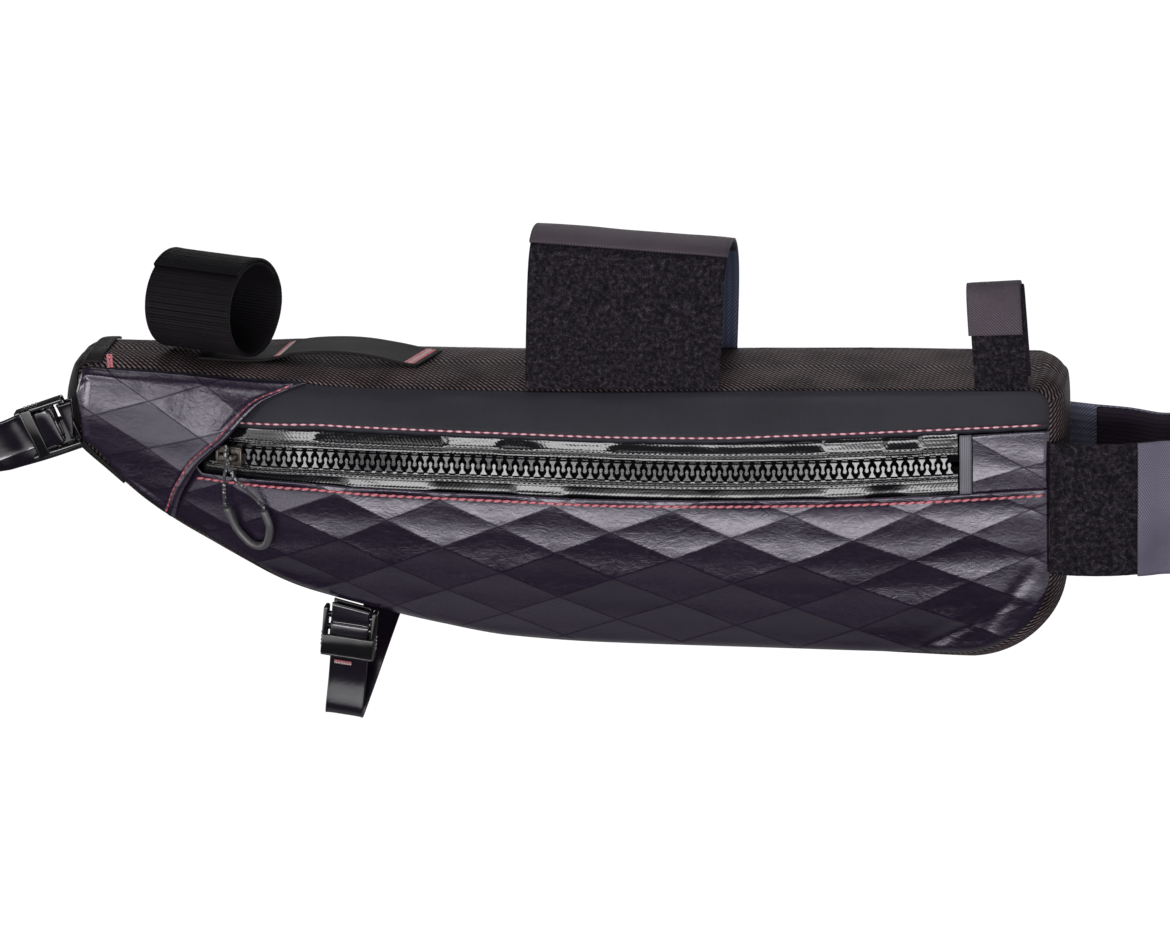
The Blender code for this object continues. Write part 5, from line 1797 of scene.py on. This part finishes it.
def long_web(name, node, points, across, cut_way, twist=0.0):
    """Webbing along a route, its far end cut along a line of its own."""
    track = smooth(points, 8)
    last = len(track) - 1
    shares = [max(0, 1 - (last - i) / 32) for i in range(last + 1)]
    web(name, node, track, [across.lerp(cut_way, share) for share in shares], twist)


def fold_anchor(name, node, place, axes, top_at, end_at, skew):
    """The short piece that is sewn to the bag and folded round the lock's top bar."""
    across, along, out_way = axes
    points = [place + along * end_at + out_way * ABOVE]
    points += round_bar(place, axes, top_at, 1)
    points.append(place + along * end_at - out_way * ABOVE)
    track = smooth(points, 6)
    last = len(track) - 1
    shares = [max(0, 1 - min(i, last - i) / 6) for i in range(last + 1)]
    web(name, node, track, [across.lerp(skew, share) for share in shares], 0.0)


# %% Hanging strap under the bag
DROP_TOP_BAR = -0.0078
drop_x = at_x(0.2753)
drop_place = Vector((drop_x, -half(drop_x) - 0.0010, seam_bottom(drop_x) - 0.0168))
drop_axes = ladder_lock(
    "drop_lock", "drop_buckle", drop_place, Vector((-0.14, 0.02, -1)), Vector((1, 0, -0.05)),
    DROP_TOP_BAR, 0.0115,
)
across, along, out_way = drop_axes
slope = (seam_bottom(drop_x + 0.01) - seam_bottom(drop_x - 0.01)) / 0.02
drop_cut = Vector((1, 0, slope))
fold_anchor(
    "drop_fold", "drop_anchor", drop_place, drop_axes, DROP_TOP_BAR, -BUCKLE_LENGTH / 2 - 0.0010, drop_cut
)
low = drop_place + along * 0.045
route = [drop_place + along * 0.010 + out_way * ABOVE]
route += round_bar(drop_place, drop_axes, LOW_BAR_AT, -1)
route.append(drop_place + along * 0.012 - out_way * ABOVE)
route.append(lerp(drop_place, low, 0.68) - out_way * ABOVE)
route.append(low - out_way * (ABOVE - 0.0015))
route.append(low + along * 0.0035 + Vector((0, 0.0035, 0)))
home_x = drop_x + 0.0125
home = Vector((home_x, half(home_x) - 0.004, seam_bottom(home_x) - 0.0024))
back_start = low + Vector((0.0008, 0.0072, -0.0002))
route += [back_start] + [back_start.lerp(home, share) for share in (0.3, 0.65, 1.0)]
long_web("hanging_strap", "drop_strap", route, across, drop_cut)

# %% Head tube's strap
HEAD_TOP_BAR = -0.0119
place = Vector((NOSE_X - 0.0171, -half(NOSE_X) - 0.0056, -0.206 * PANEL_HEIGHT))
head_axes = ladder_lock(
    "head_lock", "head_buckle", place, Vector((-0.95, -0.08, -0.32)), Vector((0.14, 0.09, -0.99)),
    HEAD_TOP_BAR, 0.0060,
)
across, along, out_way = head_axes
fold_anchor(
    "head_fold", "head_anchor", place, head_axes, HEAD_TOP_BAR, -BUCKLE_LENGTH / 2 - 0.0002,
    Vector((0, 0, -1)),
)
route = [place + along * 0.010 + out_way * ABOVE]
route += round_bar(place, head_axes, LOW_BAR_AT, -1)
route.append(place + along * 0.012 - out_way * ABOVE)
flat_way = Vector((along.x, 0, along.z)).normalized()
bow_start = place + along * 0.022 - out_way * ABOVE
route.append(bow_start)
BOW_REACH = 0.070
BOW = {
    "share": (0.30, 0.60, 0.82, 0.95, 1.0, 0.95, 0.80, 0.55, 0.30, 0.06),
    "across": (-0.004, -0.003, 0.002, 0.009, 0.017, 0.026, 0.032, 0.032, 0.030, 0.026),
    "sag": (0, 0, -0.001, -0.003, -0.005, -0.008, -0.011, -0.013, -0.014, -0.014),
}
for share, shift, sag in zip(*BOW.values()):
    route.append(bow_start + flat_way * (BOW_REACH * share) + Vector((0, shift, sag)))
route.append(Vector((NOSE_X - 0.0098, 0.003, -0.0405)))
long_web("head_loop", "head_strap", route, across, Vector((0.45, 0, -0.9)), 0.055)

# %% [markdown]
# ## The stitches
# Red thread shows as a row of separate stitches: each dives under the cloth at both ends and
# is proud in its middle. One stitch is a small stretched sphere, copied along a line with a
# little chance in its length and turn. A thin dark red tube lies under each row and darkens
# the line between the stitches: partly the thread in its groove, partly painted shade of the
# groove. The straps are held by bar tacks, short dense rows of stitches side by side.

# %% A row of stitches
random.seed(7)


def one_stitch():
    bm = bmesh.new()
    bmesh.ops.create_uvsphere(bm, u_segments=6, v_segments=5, radius=0.5)
    bmesh.ops.rotate(bm, verts=bm.verts, cent=(0, 0, 0), matrix=Matrix.Rotation(math.pi / 2, 3, "Y"))
    return bm


PROUD = 0.00012


def stitch_row(name, look, line, pitch, long, wide, slant=0.0):
    """Stitches along a line of (place, out) pairs, spaced by pitch."""
    source = one_stitch()
    bm = bmesh.new()
    gone = 0.0
    following = pitch / 2
    for (a, out_a), (b, _) in zip(line, line[1:]):
        step = (b - a).length
        while following <= gone + step:
            spot = a.lerp(b, (following - gone) / step)
            way = (b - a).normalized()
            side_way = out_a.cross(way).normalized()
            way = (way + side_way * (slant + random.uniform(-0.05, 0.05))).normalized()
            out_way = way.cross(side_way).normalized()
            out_way = -out_way if out_way.dot(out_a) < 0 else out_way
            side_way = out_way.cross(way)
            size = long * random.uniform(0.93, 1.05)
            matrix = Matrix((way * size, side_way * wide, out_way * wide * 0.9)).transposed().to_4x4()
            matrix.translation = spot + out_a * PROUD
            add_copy(bm, source, matrix)
            following += pitch
        gone += step
    source.free()
    piece(bm, name, [look])


# %% Stitches beside the zip
def side_line(start, stop, line, lift, count=400):
    """Places on the shown side along a line of the zip, with the way out."""
    made = []
    for i in range(count + 1):
        along = lerp(start, stop, i / count)
        x = at_x(along)
        spot, _, _, out_way = surface_frame(x, -PANEL_HEIGHT * read(ZIP, line, along))
        made.append((spot + out_way * lift, out_way))
    return made


# The upper stitches use the pink copy of the red thread: painted highlights on their cores.
upper_line = side_line(0.155, 0.992, "upper", 0.0)
stitch_row("upper_stitches", highlit_red, upper_line, 0.0047, 0.0036, 0.0011)
lower_line = side_line(0.125, 0.995, "lower", 0.0002)
stitch_row("lower_stitches", red, lower_line, 0.0045, 0.0040, 0.0014, 0.20)

# %% Stitches beside the flap's lip
line = []
for i in range(161):
    down = lerp(0.012, 0.97, i / 160)
    width = flap_width(down)
    w = 1 - LIP_HEM / PANEL_LENGTH / width
    spot = flap_point(w, down)[0]
    out_way = surface_frame(spot.x, spot.z)[3]
    line.append((spot - out_way * 0.0002, out_way))
stitch_row("flap_stitches", red, line, 0.0042, 0.0037, 0.0011)

# %% Dark red tube under the stitches: thread in the groove, and painted groove shade
for name, slot, row in (
    ("upper_thread", "plain_cloth", side_line(0.155, 0.992, "upper", -0.0002, 160)),
    ("lower_thread", "laminate", side_line(0.125, 0.995, "lower", -0.0001, 160)),
    ("flap_thread", "laminate", line[::2]),
):
    swept_tube(name, deep_red, [spot for spot, _ in row], 0.0006, sides=6)


# %% Bar tacks
def bar_tack(name, slot, centre, long_way, cross_way, out_way, long, cross, colours, count):
    """Dense stitches side by side, each across the strap, in stripes of the given colours; a pale stripe is
    a painted highlight.
    """
    for k, look in enumerate(colours):
        source = one_stitch()
        bm = bmesh.new()
        for i in range(count):
            shift = (i + 0.5) / count - 0.5
            spot = centre + long_way * (long * shift) + cross_way * (cross * (k - (len(colours) - 1) / 2))
            lean = (cross_way + long_way * random.uniform(-0.3, 0.3)).normalized()
            other = out_way.cross(lean).normalized()
            matrix = Matrix((lean * cross * 1.15, other * 0.0007, out_way * 0.0007)).transposed().to_4x4()
            matrix.translation = spot
            add_copy(bm, source, matrix)
        source.free()
        piece(bm, f"{name}_{k}", [look])


def on_strip(share):
    """A place at a share of the top strip's length, and the ways along, across and out there."""
    i = round(share * (len(strip_path) - 1))
    lean = Vector((STRIP_SKEW * share, 1, 0)).normalized()
    way = tangents(strip_path)[i]
    out_way = way.cross(lean).normalized()
    return strip_path[i], way, lean, -out_way if out_way.z < 0 else out_way


# The pale stripes in these tacks are painted highlights on the red thread.
for name, share, colours in (("strip_tack", 0.40, (red, pale_highlit)), ("strip_end_tack", 0.93, (red, pale_highlit, red))):
    spot, way, lean, out_way = on_strip(share)
    bar_tack(name, "elastic", spot + out_way * 0.0014, lean, way, out_way, 0.023, 0.0017, colours, 26)
across, along, out_way = drop_axes
spot = drop_place + along * 0.0172 - across * 0.002 + out_way * 0.0026
bar_tack("drop_tack", "webbing", spot, across, along, out_way, 0.009, 0.0010, (red, pale_highlit), 11)
tack_x = at_x(0.034)
spot = Vector((tack_x, -half(tack_x) - 0.0005, seam_top(tack_x) + 0.0035))
ways = [Vector(way).normalized() for way in ((-0.1, 0.3, 1), (1, 0, 0.1), (0, -1, 0.35))]
bar_tack("nose_tack", "plain_cloth", spot, *ways, 0.007, 0.0016, (red, red), 9)
shown = [made for made in bpy.data.objects if made.type in ("MESH", "CURVE") and not made.hide_render]
print("pieces shown:", len(shown))
